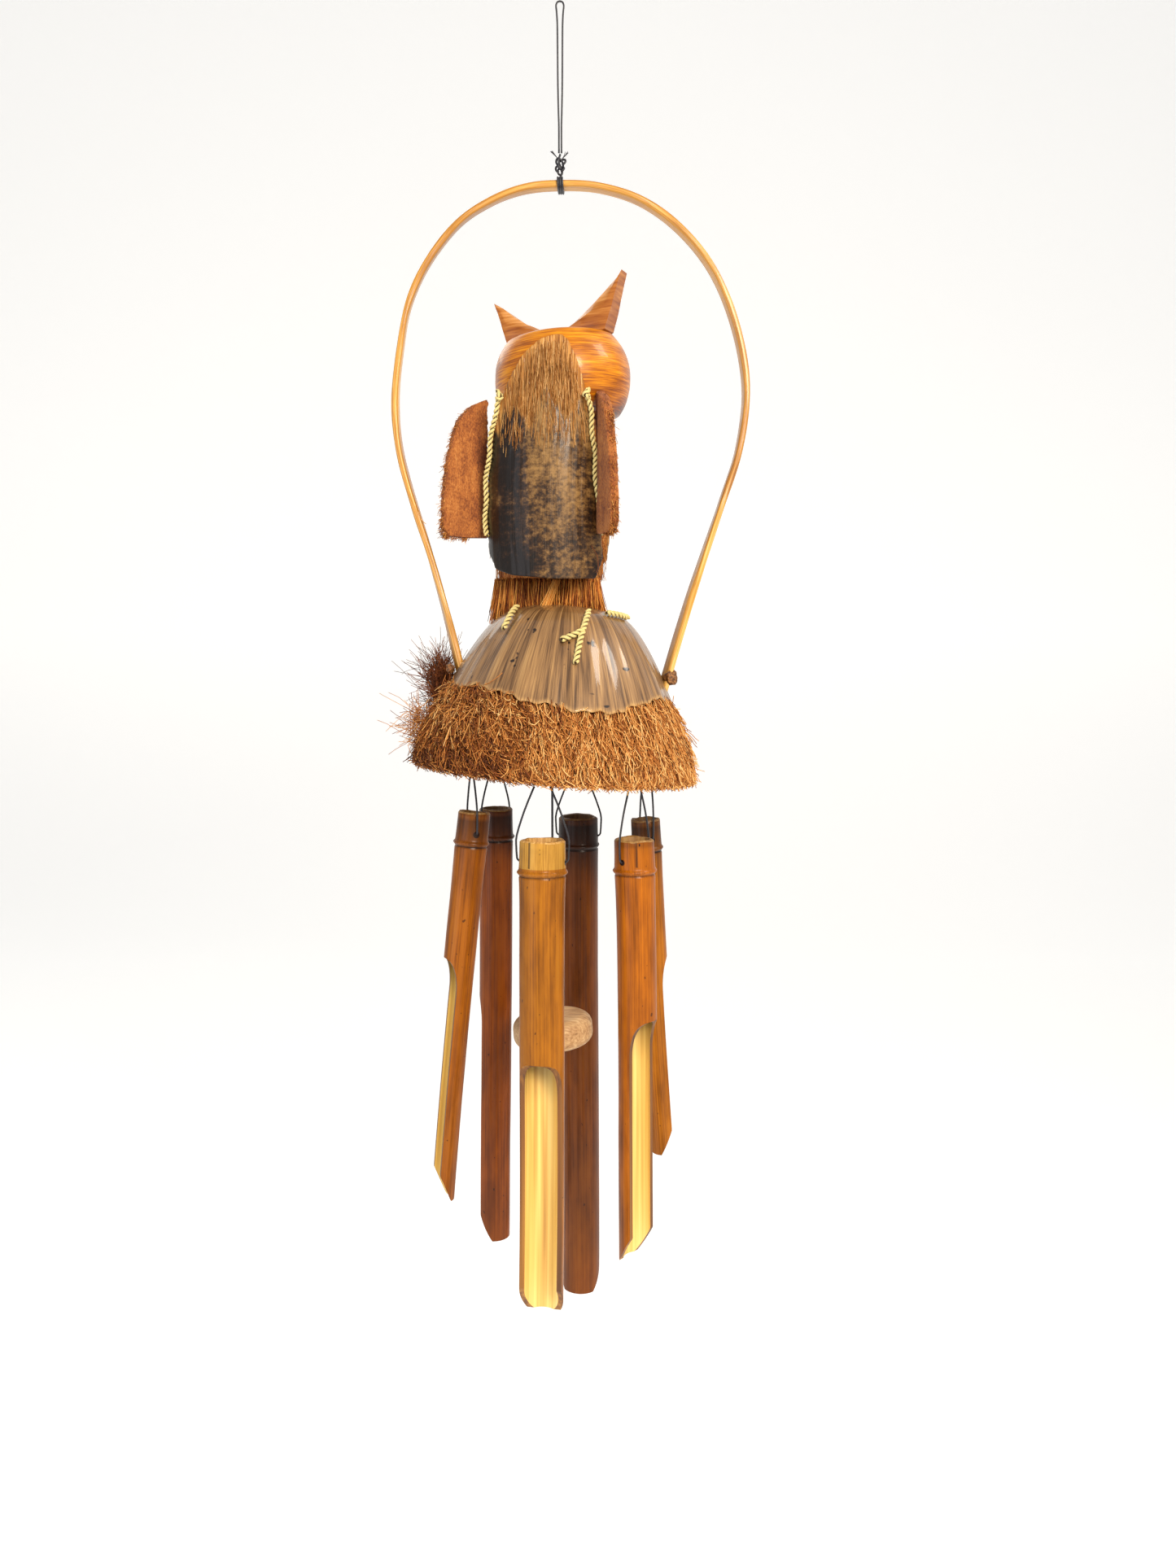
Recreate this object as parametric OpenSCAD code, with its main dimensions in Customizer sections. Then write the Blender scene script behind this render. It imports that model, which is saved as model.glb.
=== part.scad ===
// Bamboo wind chime with a coconut-husk owl on a coconut-husk roof.
// Origin: top of the hanging loop. +Z up, +Y the side the owl faces, +X to the right seen from the owl's back.

/* [Hanging] */
// Diameter of the black cord in the hanging loop
loop_cord_d = 0.9; // [0.7:0.1:1.2]
// Width of the bent bamboo strip, front to back
hoop_w = 9; // [6:0.5:12]
// Thickness of the bent bamboo strip
hoop_t = 3.4; // [2.5:0.1:4.5]

/* [Owl] */
// Turn of the owl away from +Y, in degrees
owl_turn = -20; // [-30:1:0]
// Radius of the flattened wooden head
head_r = 35; // [34:0.5:36]
// Tilt of the head in degrees, right side up
head_tilt = 4; // [0:1:6]
// Thickness of the husk on the owl's back and breast
husk_t = 3.5; // [2.5:0.1:4]
// Thickness of each wing
wing_t = 5; // [4:0.5:6]

/* [Roof] */
// Radius of the coir fringe at the rim
rim_r = 76; // [74:1:78]
// Thickness of the husk skin over the coir
skin_t = 2.5; // [1.5:0.5:3.5]
// Lean of the roof in degrees, right side down
roof_tilt = 4.5; // [0:0.5:6]
// Diameter of the wooden peg through body and roof
peg_d = 10; // [8:1:12]

/* [Tubes] */
// Radius of the circle that the six tubes hang on
ring_r = 49; // [48:1:52]
// Diameter of the black cord that carries the tubes
cord_d = 1; // [0.8:0.1:1.2]
// Depth of the cup above the bamboo's node
cup_depth = 15; // [14:1:18]
// Height of the curved scoop above each tube's open channel
scoop_h = 18; // [12:1:24]
// Height of the slanted tip
tip_h = 15; // [8:1:18]

/* [Clapper] */
// Diameter of the wooden clapper
clapper_d = 43; // [38:1:44]
// Thickness of the wooden clapper
clapper_t = 16; // [12:1:18]
// Height of the clapper's middle below the loop's top
clapper_drop = 526; // [500:1:560]

/* [Hidden] */
$fn = 64;

big = 200;
fit_gap = 0.3;

// hanging loop, knot and lashing: heights on the Z axis
stem_z = -72.6;
knot_top_z = -73;
knot_end_z = -84.6;
hoop_top_z = -88.3;
loop_half_route = [
    [0, -0.45], [1.15, -0.8], [1.8, -1.8], [1.9, -3.2], [1.6, -6],
    [1.3, -12], [1.2, -24], [1.1, -40], [0.8, -54], [0.65, -60], [0.65, stem_z]
];
knot_balls = [[-0.2, -75.4, 2.2], [0.7, -78.6, 2.7], [-0.4, -81.4, 2.2]];
knot_tail_l = 7;

// middle line of the bent strip, from the left foot over the top to the right foot
hoop_route = [
    [-50, -346], [-54, -328], [-60, -303], [-68, -273], [-76, -247], [-83, -220], [-85, -195],
    [-82, -168], [-77, -145], [-67, -125], [-52, -107], [-35, -96], [-18, -90], [0, -88.3],
    [20, -89.5], [41, -96], [60, -109], [77, -129], [89, -156], [95, -187], [92, -218],
    [83, -247], [72, -280], [62, -312], [52, -347]
];

// owl: heights and places of its pieces
owl_x = -5;
head_x = 1;
head_y = 5;
head_mid_z = -183;
head_round_r = 30;
head_half_h = 21;
ear_t = 15;
ear_foot = 27;
ear_bend = 1.25;
body_r = 30.5;
body_top_z = -204;
body_end_z = -285;
husk_out_r = body_r + husk_t;
back_outline = [
    [4, -169], [-4, -171], [-12, -177], [-19, -187], [-25, -198], [-29, -215], [-32, -234], [-33, -252],
    [-32, -272], [-28, -281], [-19, -284.5], [2, -286], [23, -286], [27, -276], [26, -262], [23, -244],
    [22, -226], [20, -205], [17, -190], [13, -178], [9, -171]
];
wing_outline = [
    [0, -194], [9, -198], [16, -205], [20, -214], [24, -230], [26, -248], [26, -260], [23, -264],
    [12, -264.5], [0, -263]
];
wing_seam_x = 29;
wing_seam_y = -14;
wing_flare = 36;
raffia_d = 2.2;
leg_r = 13;
leg_x = [-17, 0, 13];
tail_top_z = -285;
tail_end_z = -306;

// roof: profile r(t) = r0 + (rim_r - r0) * t^k, with t from the cap to the rim
roof_top_z = -302;
roof_end_z = -386;
cap_r = 28;
cap_h = 4;
skin_end_t = 0.52;
roof_x = -1;
roof_pivot_z = -350;
profile_k = 0.65;
hollow_mouth_r = 38;
hollow_top_r = 16;
hollow_top_z = -332;
fringe_tufts = 6;
tie_d = 2.6;
tie_marks = [
    [[216, 0.005], [222, 0.06], [226, 0.15]],
    [[292, 0.005], [286, 0.07], [281, 0.18], [278, 0.32]],
    [[312, 0.005], [330, 0.01], [345, 0.02]]
];
peg_top_z = -215;
peg_end_z = -336;

// tubes: direction, outer radius, top height, length, start of the scoop below the top, outward lean,
// half the distance between the two anchor knots
tubes = [
    [200, 8.6, -405, 206, 77, 6, 3],
    [140, 9.6, -409, 250, 105, 1, 3],
    [260, 11.8, -415, 243, 111, 2, 4],
    [80, 11.6, -416, 285, 130, 1.5, 3],
    [320, 10.5, -417, 222, 93, 1, 5],
    [20, 8.2, -413, 190, 77, 4, 6]
];
hole_depth = 11;
hole_r = 1.5;
wall_share = 0.26;
cut_share = 0.22;
diaphragm_t = 2.5;
ring_proud = 0.8;
anchor_knot_r = 2;
cord_off_wall = 1.2;
cord_turn_r = 2.2;
cord_above_rim = 2;

// clapper and its cord
hitch_z = -339;
hitch_r = 2;
clapper_tilt = 4.5;
clapper_cord_d = 1.2;
clapper_bore_r = 2;
clapper_edge_r = 6;
clapper_knot_r = 2.8;

function tube_x(i) = ring_r * cos(tubes[i][0]);
function tube_y(i) = ring_r * sin(tubes[i][0]);
function under_z(x) = roof_pivot_z + (roof_end_z - roof_pivot_z) / cos(roof_tilt)
    - (x - roof_x) * tan(roof_tilt);
function anchor_z(i) = under_z(tube_x(i)) - anchor_knot_r - 1;
function hole_z(i) = tubes[i][2] - hole_depth;
function cut_x(r) = cut_share * r;
function dome_r(t) = cap_r + (rim_r - cap_r) * pow(t, profile_k);
function dome_z(t) = roof_top_z + (roof_end_z - roof_top_z) * t;
function bow(p, k) = p[max(0, min(len(p) - 1, k))];
function between(p, k, u) = 0.5 * (
    2 * bow(p, k) + (bow(p, k + 1) - bow(p, k - 1)) * u
    + (2 * bow(p, k - 1) - 5 * bow(p, k) + 4 * bow(p, k + 1) - bow(p, k + 2)) * u * u
    + (3 * bow(p, k) - bow(p, k - 1) - 3 * bow(p, k + 1) + bow(p, k + 2)) * u * u * u);
function smooth(p, n) = concat(
    [for (k = [0 : len(p) - 2], j = [0 : n - 1]) between(p, k, j / n)], [p[len(p) - 1]]);
function heading(p, k) = bow(p, k + 1) - bow(p, k - 1);
function side_of(p, k) = let (h = heading(p, k)) [-h[1], h[0]] / norm(h);
function turn_arc(cx, cz, r, from, to, n) = [
    for (j = [0 : n]) let (a = from + (to - from) * j / n) [cx + r * cos(a), cz + r * sin(a)]];

// A bar whose section is a list of [across, deep] points, carried along a flat path in the XZ plane.
module swept(path, section) {
    n = len(section);
    m = len(path);
    rings = [for (k = [0 : m - 1], s = section)
        let (c = path[k], q = side_of(path, k)) [c[0] + q[0] * s[0], s[1], c[1] + q[1] * s[0]]];
    walls = [for (k = [0 : m - 2], j = [0 : n - 1])
        let (a = k * n + j, b = k * n + (j + 1) % n) [[a, b, b + n], [a, b + n, a + n]]];
    faces = concat(
        [for (w = walls, f = w) f],
        [[for (j = [n - 1 : -1 : 0]) j]], [[for (j = [0 : n - 1]) (m - 1) * n + j]]);
    polyhedron(points = rings, faces = faces, convexity = 6);
}

module cord_along(path, d) {
    swept(path, [for (a = [0 : 45 : 315]) [d / 2 * cos(a), d / 2 * sin(a)]]);
}

module rod_between(a, b, r) {
    v = b - a;
    translate(a)
        rotate([0, acos(v[2] / norm(v)), atan2(v[1], v[0])])
            cylinder(h = norm(v), r = r);
}

module hanging_loop() {
    half = smooth(loop_half_route, 2);
    near = [for (k = [len(half) - 1 : -1 : 1]) [-half[k][0], half[k][1]]];
    color("#1a1a20") cord_along(concat(near, half), loop_cord_d);
}

module loop_knot() {
    color("#16161a") union() {
        for (b = knot_balls) translate([b[0], 0, b[1]]) sphere(r = b[2]);
        translate([0, 0, knot_end_z]) cylinder(h = 4, r = 1.2);
        rod_between([0, 0, -76], [-4, -1, -76 + knot_tail_l / 2], 0.45);
        rod_between([0, 0, -76], [4, 0.5, -76 + knot_tail_l / 2], 0.45);
    }
}

module hoop_lashing() {
    gap = 0.4;
    turn_d = 1.1;
    in_w = hoop_w / 2 + gap;
    in_t = hoop_t / 2 + gap;
    color("#16161a")
        translate([1.8, 0, hoop_top_z]) rotate([0, -90, 0]) linear_extrude(height = 3.6)
            difference() {
                square([2 * (in_t + turn_d), 2 * (in_w + turn_d)], center = true);
                square([2 * in_t, 2 * in_w], center = true);
            }
}

module hoop() {
    color("#b87a2a")
        swept(smooth(hoop_route, 2), [
            [-hoop_t / 2, -hoop_w / 2], [hoop_t / 2, -hoop_w / 2],
            [hoop_t / 2, hoop_w / 2], [-hoop_t / 2, hoop_w / 2]]);
}

module hoop_glue() {
    color("#8a6a3a") {
        translate([57.5, -3, -336]) sphere(r = 3.4);
        translate([-58, -3, -331]) sphere(r = 2.4);
    }
}

// The owl's own frame: its back to -Y before the turn.
module owl() {
    translate([owl_x, 0, 0]) rotate([0, 0, owl_turn]) children();
}

module head_frame() {
    translate([head_x, head_y, head_mid_z]) rotate([0, -head_tilt, 0]) rotate([0, 0, owl_turn]) children();
}

module head_ball() {
    head_frame()
        rotate_extrude() intersection() {
            translate([head_r - head_round_r, 0]) circle(r = head_round_r);
            translate([0, -head_half_h]) square([head_r + 1, 2 * head_half_h]);
        }
}

module back_panel(in_r, out_r) {
    intersection() {
        translate([owl_x, 0, 0]) translate([0, 0, -300]) difference() {
            cylinder(h = 150, r = out_r);
            translate([0, 0, -1]) cylinder(h = 152, r = in_r);
        }
        translate([owl_x, 0, 0]) rotate([90, 0, 0]) linear_extrude(height = 60) polygon(back_outline);
    }
}

module head() {
    color("#c8791a") head_ball();
}

// One tufted ear: a plate with a straight foot, a hollowed upper edge and a pointed tip.
module ear(side, reach, rise) {
    hollow = [for (u = [0.2 : 0.2 : 0.8]) [side * reach * (1 - u), rise * pow(1 - u, ear_bend) + u]];
    outline = concat([[side, 0], [side * ear_foot, 0], [side * reach, rise]], hollow, [[side, 1]]);
    head_frame()
        translate([0, ear_t / 2, head_half_h]) rotate([90, 0, 0]) linear_extrude(height = ear_t)
            polygon(outline);
}

module ear_left() {
    color("#c98a4a") ear(-1, 33.5, 22);
}

module ear_right() {
    color("#a8661e") ear(1, 37, 27.5);
}

module eyes() {
    color("#2a1a0c")
        head_frame()
            for (s = [-1, 1]) translate([s * 14, 24, 1]) rotate([-90, 0, 0]) cylinder(h = 12, r = 9.5);
}

module beak() {
    color("#3a2410")
        head_frame()
            translate([0, 30, 2]) rotate([-150, 0, 0]) cylinder(h = 22, r1 = 5.5, r2 = 0.8);
}

module back_husk() {
    color("#6d5232") difference() {
        back_panel(body_r, husk_out_r);
        head_ball();
    }
}

// The round coir block under the husk, flat at the two seams.
module body_block() {
    color("#8a5a30") difference() {
        translate([owl_x, 0, body_end_z]) cylinder(h = body_top_z - body_end_z, r = body_r);
        owl() translate([wing_seam_x, -big / 2, -big - 150]) cube([big, big, big]);
        owl() translate([-wing_seam_x - big, -big / 2, -big - 150]) cube([big, big, big]);
        peg_hole();
        head_ball();
    }
}

module breast_husk() {
    color("#9a6b3c") intersection() {
        translate([owl_x, 0, body_end_z]) difference() {
            cylinder(h = body_top_z - body_end_z - 1, r = husk_out_r);
            translate([0, 0, -1]) cylinder(h = big, r = body_r);
        }
        owl() rotate([-90, 0, 0]) linear_extrude(height = 60)
            polygon([[-20, 206], [20, 206], [25, 245], [22, 275], [0, 284], [-22, 275], [-25, 245]]);
    }
}

module wing(side) {
    owl()
        translate([side * wing_seam_x, wing_seam_y, 0])
            rotate([0, 0, side * (wing_flare - 90)])
                rotate([90, 0, 0]) translate([0, 0, -wing_t])
                    linear_extrude(height = wing_t) polygon([for (p = wing_outline) [side * p[0], p[1]]]);
}

module wing_left() {
    color("#a5622f") wing(-1);
}

module wing_right() {
    color("#b06a35") wing(1);
}

module wing_raffia(side) {
    owl()
        translate([side * (wing_seam_x - 0.6), wing_seam_y - raffia_d, -264])
            cylinder(h = 68, r = raffia_d / 2, $fn = 24);
}

module wing_raffia_left() {
    color("#e6d79a") wing_raffia(-1);
}

module wing_raffia_right() {
    color("#efe4b0") wing_raffia(1);
}

module tail_coir() {
    color("#b4692a") difference() {
        union() for (x = leg_x)
            translate([owl_x + x, 0, tail_end_z]) cylinder(h = tail_top_z - tail_end_z, r = leg_r);
        roof_outer();
        peg_hole();
    }
}

module peg_hole() {
    translate([owl_x, 0, peg_end_z]) cylinder(h = peg_top_z - peg_end_z, d = peg_d);
}

module core_peg() {
    color("#b98d55") peg_hole();
}

// A strand of raffia over the skin: marks are [direction, t on the dome line], joined end to end.
module raffia_tie(marks, d) {
    spots = [for (m = marks) let (r = dome_r(m[1]) + d / 2)
        [r * cos(m[0]), r * sin(m[0]), dome_z(m[1]) + d / 2]];
    for (k = [0 : len(spots) - 2])
        hull() for (p = [spots[k], spots[k + 1]]) translate(p) sphere(r = d / 2, $fn = 12);
}

module raffia_ties() {
    color("#e6d79a") roof_frame() for (tie = tie_marks) raffia_tie(tie, tie_d);
}

module roof_frame() {
    translate([roof_x, 0, roof_pivot_z]) rotate([0, roof_tilt, 0])
        translate([0, 0, -roof_pivot_z]) children();
}

// Solid of revolution under the dome line, from the cap down to height t_end, moved in by inset.
module dome(t_end, inset) {
    line = [for (j = [0 : 10]) let (t = t_end * j / 10) [dome_r(t) - inset, dome_z(t)]];
    rotate_extrude() polygon(concat(
        [[0, roof_top_z + cap_h - inset], [cap_r * 0.6, roof_top_z + cap_h * 0.75 - inset]],
        line, [[0, dome_z(t_end)]]));
}

module roof_outer() {
    roof_frame() dome(skin_end_t, 0);
}

module roof_husk() {
    color("#7f6647") difference() {
        roof_frame() difference() {
            dome(skin_end_t, 0);
            dome(1, skin_t);
        }
        peg_hole();
    }
}

// All the coir of the roof, in the roof's own frame: under the skin, and full depth below its edge.
module coir_solid() {
    dome(1, skin_t);
    difference() {
        dome(1, 0);
        translate([0, 0, dome_z(skin_end_t)]) cylinder(h = big, r = big);
    }
}

// The packed coir above the hollow, with the peg's hole through it.
module roof_crown() {
    color("#a86c34") difference() {
        roof_frame() intersection() {
            coir_solid();
            translate([0, 0, hollow_top_z]) cylinder(h = big, r = big);
        }
        peg_hole();
    }
}

// One of the tufts of coir round the hollow, side by side and pressed together.
module fringe(k) {
    half = 180 / fringe_tufts;
    color("#b5763a") roof_frame() difference() {
        intersection() {
            coir_solid();
            rotate([0, 0, 2 * half * k]) translate([0, 0, roof_end_z - 1])
                linear_extrude(height = hollow_top_z - roof_end_z + 1)
                    polygon([[0, 0], [big, -big * tan(half)], [big, big * tan(half)]]);
        }
        translate([0, 0, roof_end_z - 1])
            cylinder(h = hollow_top_z - roof_end_z + 1, r1 = hollow_mouth_r, r2 = hollow_top_r);
    }
}

module roof_tuft() {
    color("#6a3a1a")
        rod_between([-62, 12, -356], [-68, 15, -318], 7);
}

module cord_knots() {
    color("#16161a")
        for (i = [0 : 5], s = [-1, 1])
            rotate([0, 0, tubes[i][0]])
                translate([ring_r, s * tubes[i][6], anchor_z(i) + anchor_knot_r + fit_gap])
                    sphere(r = anchor_knot_r);
}

// A bamboo tube in its own frame: the cord's hole line at the origin, the scoop towards +X.
module bamboo(r, length, scoop) {
    c = cut_x(r);
    bore = r * (1 - wall_share);
    top = hole_depth;
    low = top - length;
    start = top - scoop;
    curve = [for (a = [0 : 10 : 90]) [r - (r - c) * sin(a), start - scoop_h * (1 - cos(a))]];
    difference() {
        union() {
            translate([0, 0, low]) cylinder(h = length, r = r);
            translate([0, 0, top - cup_depth - diaphragm_t])
                rotate_extrude() polygon([[0, 0], [r, 0], [r + ring_proud, 1], [r + ring_proud, 2], [r, 3], [0, 3]]);
        }
        translate([0, 0, top - cup_depth]) cylinder(h = cup_depth + 1, r = bore);
        translate([0, 0, low - 1]) cylinder(h = length - cup_depth - diaphragm_t + 1, r = bore);
        translate([0, -2 * r, 0]) rotate([-90, 0, 0]) cylinder(h = 4 * r, r = hole_r);
        translate([0, 2 * r, 0]) rotate([90, 0, 0]) linear_extrude(height = 4 * r)
            polygon(concat([[2 * r, start]], curve, [[c, low - 1], [2 * r, low - 1]]));
        translate([0, 2 * r, 0]) rotate([90, 0, 0]) linear_extrude(height = 4 * r)
            polygon([[c + 1, low + tip_h + 1], [c + 1, low - 1], [-0.6 * r, low - 1], [-0.6 * r, low]]);
    }
}

module at_tube(i) {
    rotate([0, 0, tubes[i][0]]) translate([ring_r, 0, hole_z(i)]) children();
}

module tube(i) {
    at_tube(i) rotate([0, -tubes[i][5], 0]) bamboo(tubes[i][1], tubes[i][3], tubes[i][4]);
}

// Half of a tube cord's route in the plane of its two holes: [sideways, height above the holes].
function half_cord(i) =
    let (r = tubes[i][1], out = r + cord_off_wall, rise = anchor_z(i) - hole_z(i), clear = hole_depth + cord_above_rim)
    concat(
        [[tubes[i][6], rise], [(tubes[i][6] + out) / 2 + 0.6, (rise + clear) / 2], [out, clear], [out + 0.3, 7]],
        turn_arc(out - cord_turn_r, cord_turn_r, cord_turn_r, 0, -90, 5),
        [[r - 5, 0], [0, 0]]);

module tube_cord(i) {
    right = half_cord(i);
    left = [for (k = [len(right) - 2 : -1 : 0]) [-right[k][0], right[k][1]]];
    color("#1a1a20")
        at_tube(i) rotate([0, 0, 90]) cord_along(concat(right, left), cord_d);
}

module clapper_hitch() {
    color("#16161a") translate([owl_x, 0, hitch_z]) sphere(r = hitch_r);
}

module clapper_cord() {
    top = hitch_z - hitch_r - fit_gap;
    end = -clapper_drop - clapper_t / 2 - 1;
    color("#1a1a20")
        translate([owl_x, 0, 0])
            cord_along([for (j = [0 : 8]) [0, top + (end - top) * j / 8]], clapper_cord_d);
}

module clapper() {
    e = clapper_edge_r;
    half = clapper_t / 2;
    color("#d6b07a")
        translate([owl_x, 0, -clapper_drop]) rotate([0, -clapper_tilt, 0]) difference() {
            rotate_extrude() union() {
                translate([0, -half]) square([clapper_d / 2 - e, clapper_t]);
                translate([0, -half + e]) square([clapper_d / 2, clapper_t - 2 * e]);
                for (z = [-half + e, half - e]) translate([clapper_d / 2 - e, z]) circle(r = e);
            }
            translate([0, 0, -clapper_t]) cylinder(h = 2 * clapper_t, r = clapper_bore_r);
        }
}

module clapper_knot() {
    color("#16161a")
        translate([owl_x, 0, -clapper_drop - half_knot_drop()]) sphere(r = clapper_knot_r);
}

function half_knot_drop() = clapper_t / 2 + clapper_knot_r + 1;

hanging_loop();
loop_knot();
hoop_lashing();
hoop();
hoop_glue();
head();
ear_left();
ear_right();
eyes();
beak();
back_husk();
body_block();
breast_husk();
wing_left();
wing_right();
wing_raffia_left();
wing_raffia_right();
tail_coir();
core_peg();
raffia_ties();
roof_husk();
roof_crown();
roof_tuft();
cord_knots();
fringe(0);  // fringe_1
fringe(1);  // fringe_2
fringe(2);  // fringe_3
fringe(3);  // fringe_4
fringe(4);  // fringe_5
fringe(5);  // fringe_6
tube(0);  // tube_1
tube(1);  // tube_2
tube(2);  // tube_3
tube(3);  // tube_4
tube(4);  // tube_5
tube(5);  // tube_6
tube_cord(0);  // tube_cord_1
tube_cord(1);  // tube_cord_2
tube_cord(2);  // tube_cord_3
tube_cord(3);  // tube_cord_4
tube_cord(4);  // tube_cord_5
tube_cord(5);  // tube_cord_6
clapper_hitch();
clapper_cord();
clapper();
clapper_knot();
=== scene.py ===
import math

import bmesh
import bpy
import numpy as np
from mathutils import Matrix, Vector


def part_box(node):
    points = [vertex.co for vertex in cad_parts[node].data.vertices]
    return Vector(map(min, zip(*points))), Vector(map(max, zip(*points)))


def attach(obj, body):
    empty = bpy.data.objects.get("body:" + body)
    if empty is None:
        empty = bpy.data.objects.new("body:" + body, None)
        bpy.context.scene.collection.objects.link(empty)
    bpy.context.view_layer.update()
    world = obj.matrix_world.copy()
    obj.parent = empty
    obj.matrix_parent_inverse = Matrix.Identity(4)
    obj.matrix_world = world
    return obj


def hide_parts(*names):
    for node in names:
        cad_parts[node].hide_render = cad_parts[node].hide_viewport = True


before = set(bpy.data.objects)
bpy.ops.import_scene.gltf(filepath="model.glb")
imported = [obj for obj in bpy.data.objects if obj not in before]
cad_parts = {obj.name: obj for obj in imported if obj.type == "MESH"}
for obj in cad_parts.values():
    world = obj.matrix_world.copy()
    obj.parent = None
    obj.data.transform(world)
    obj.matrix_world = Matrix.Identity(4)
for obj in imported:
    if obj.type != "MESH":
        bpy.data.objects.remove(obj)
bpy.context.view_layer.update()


# ---------------------------------------------------------------- camera, floor and light
# A hand-held camera 65 cm behind the owl, level with its body and tipped six degrees down. The chime hangs in
# front of a plain pale sweep: a floor that curves up into a back wall. A soft key comes from the upper right
# and a weaker fill from the left; a small light high on the right and a wide one from the far side edge it.

EYE = (0.014, -0.650, -0.324)
TIP_DOWN = 6.0

camera = bpy.data.objects.new("camera", bpy.data.cameras.new("camera"))
bpy.context.scene.collection.objects.link(camera)
camera.location = EYE
camera.rotation_euler = (math.radians(90 - TIP_DOWN), 0, 0)
camera.data.sensor_width = 36
camera.data.lens = 28.25
camera.data.clip_end = 30
bpy.context.scene.camera = camera


def linear(hex_colour):
    """An sRGB colour written as six hex digits, turned to linear light, with alpha 1."""
    s = np.array([int(hex_colour[i : i + 2], 16) for i in (0, 2, 4)]) / 255
    return (*np.where(s <= 0.04045, s / 12.92, ((s + 0.055) / 1.055) ** 2.4).tolist(), 1.0)


def connect(tree, target, inputs):
    """Sets a node's inputs: a socket is linked, and any other value becomes the input's own."""
    for name, value in inputs.items():
        if isinstance(value, bpy.types.NodeSocket):
            tree.links.new(value, target.inputs[name])
        else:
            target.inputs[name].default_value = value


def node(tree, kind, inputs=None, stops=None, **settings):
    """Adds a node: settings are its own, inputs are values or sockets to link, stops are a ramp's (place,
    hex)."""
    made = tree.nodes.new("ShaderNode" + kind)
    for name, value in settings.items():
        setattr(made, name, value)
    connect(tree, made, inputs or {})
    if stops:
        ramp = made.color_ramp.elements
        while len(ramp) < len(stops):
            ramp.new(0.5)
        for element, (place, colour) in zip(ramp, stops):
            element.position, element.color = place, linear(colour)
    return made


def new_material(name, roughness=0.5, **shader):
    """A material with one Principled shader. Returns the material, its node tree and the shader."""
    material = bpy.data.materials.new(name)
    material.use_nodes = True
    tree = material.node_tree
    surface = tree.nodes["Principled BSDF"]
    surface.inputs["Roughness"].default_value = roughness
    for socket, value in shader.items():
        surface.inputs[socket.replace("_", " ")].default_value = value
    return material, tree, surface


def put_mesh(name, corners, *face_groups, material=None, **attributes):
    """A mesh object from an (n, 3) array of corners and (m, k) arrays of corner numbers. Each attribute is a
    number or a vector for each corner, which the materials read by its name."""
    mesh = bpy.data.meshes.new(name)
    corners = np.asarray(corners, dtype=np.float32).reshape(-1, 3)
    groups = [np.asarray(f, dtype=np.int32) for f in face_groups if len(f)]
    loops = np.concatenate([f.ravel() for f in groups])
    sizes = np.concatenate([np.full(len(f), f.shape[1]) for f in groups])
    mesh.vertices.add(len(corners))
    mesh.vertices.foreach_set("co", corners.ravel())
    mesh.loops.add(len(loops))
    mesh.loops.foreach_set("vertex_index", loops)
    mesh.polygons.add(len(sizes))
    mesh.polygons.foreach_set("loop_start", np.concatenate([[0], np.cumsum(sizes)[:-1]]).astype(np.int32))
    mesh.update(calc_edges=True)
    mesh.polygons.foreach_set("use_smooth", np.ones(len(sizes), dtype=bool))
    for label, values in attributes.items():
        values = np.asarray(values, dtype=np.float32)
        per_corner = values.size // len(corners)
        kind, field = ("FLOAT_VECTOR", "vector") if per_corner == 3 else ("FLOAT", "value")
        mesh.attributes.new(label, kind, "POINT")
        mesh.attributes[label].data.foreach_set(field, values.ravel())
    piece = bpy.data.objects.new(name, mesh)
    bpy.context.scene.collection.objects.link(piece)
    if material:
        mesh.materials.append(material)
    return piece


def grid_faces(rows, cols, round_=False):
    """Four-cornered faces of a grid of rows by cols corners, joined back to the first column if round_."""
    r, c = np.meshgrid(np.arange(rows - 1), np.arange(cols if round_ else cols - 1), indexing="ij")
    a, b = r * cols + c, r * cols + (c + 1) % cols
    return np.stack([a, b, b + cols, a + cols], axis=-1).reshape(-1, 4)


def pale_sweep():
    """Floor, a quarter turn of radius 0.8 m and a back wall: one line in the YZ plane, carried along X."""
    turn = np.radians(np.linspace(0, 90, 24))
    y = np.concatenate([[-4.0], 2.2 + 0.8 * np.sin(turn), [3.0]])
    z = np.concatenate([[-1.05], -1.05 + 0.8 * (1 - np.cos(turn)), [3.5]])
    x = np.array([-5.0, 5.0])
    corners = np.stack(np.broadcast_arrays(x[None, :], y[:, None], z[:, None]), axis=-1)
    material, tree, surface = new_material("pale_paper", 0.9)
    speck = node(tree, "TexNoise", {"Scale": 3.0})
    shade = node(tree, "ValToRGB", {"Fac": speck.outputs["Fac"]}, [(0, "f6f6f4"), (1, "fbfbfa")])
    connect(tree, surface, {"Base Color": shade.outputs["Color"]})
    surface.inputs["Emission Color"].default_value = linear("ffffff")
    surface.inputs["Emission Strength"].default_value = 0.25
    return put_mesh("pale_sweep", corners, grid_faces(len(y), 2), material=material)


def area_light(name, place, aim, size, power, colour):
    """A square soft light at place, turned to face aim."""
    light = bpy.data.lights.new(name, "AREA")
    light.size, light.energy, light.color = size, power, linear(colour)[:3]
    lamp = bpy.data.objects.new(name, light)
    lamp.location = place
    ahead = np.subtract(aim, place)
    lamp.rotation_euler = (math.acos(-ahead[2] / np.linalg.norm(ahead)), 0,
                           math.atan2(ahead[1], ahead[0]) - math.pi / 2)
    bpy.context.scene.collection.objects.link(lamp)


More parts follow.
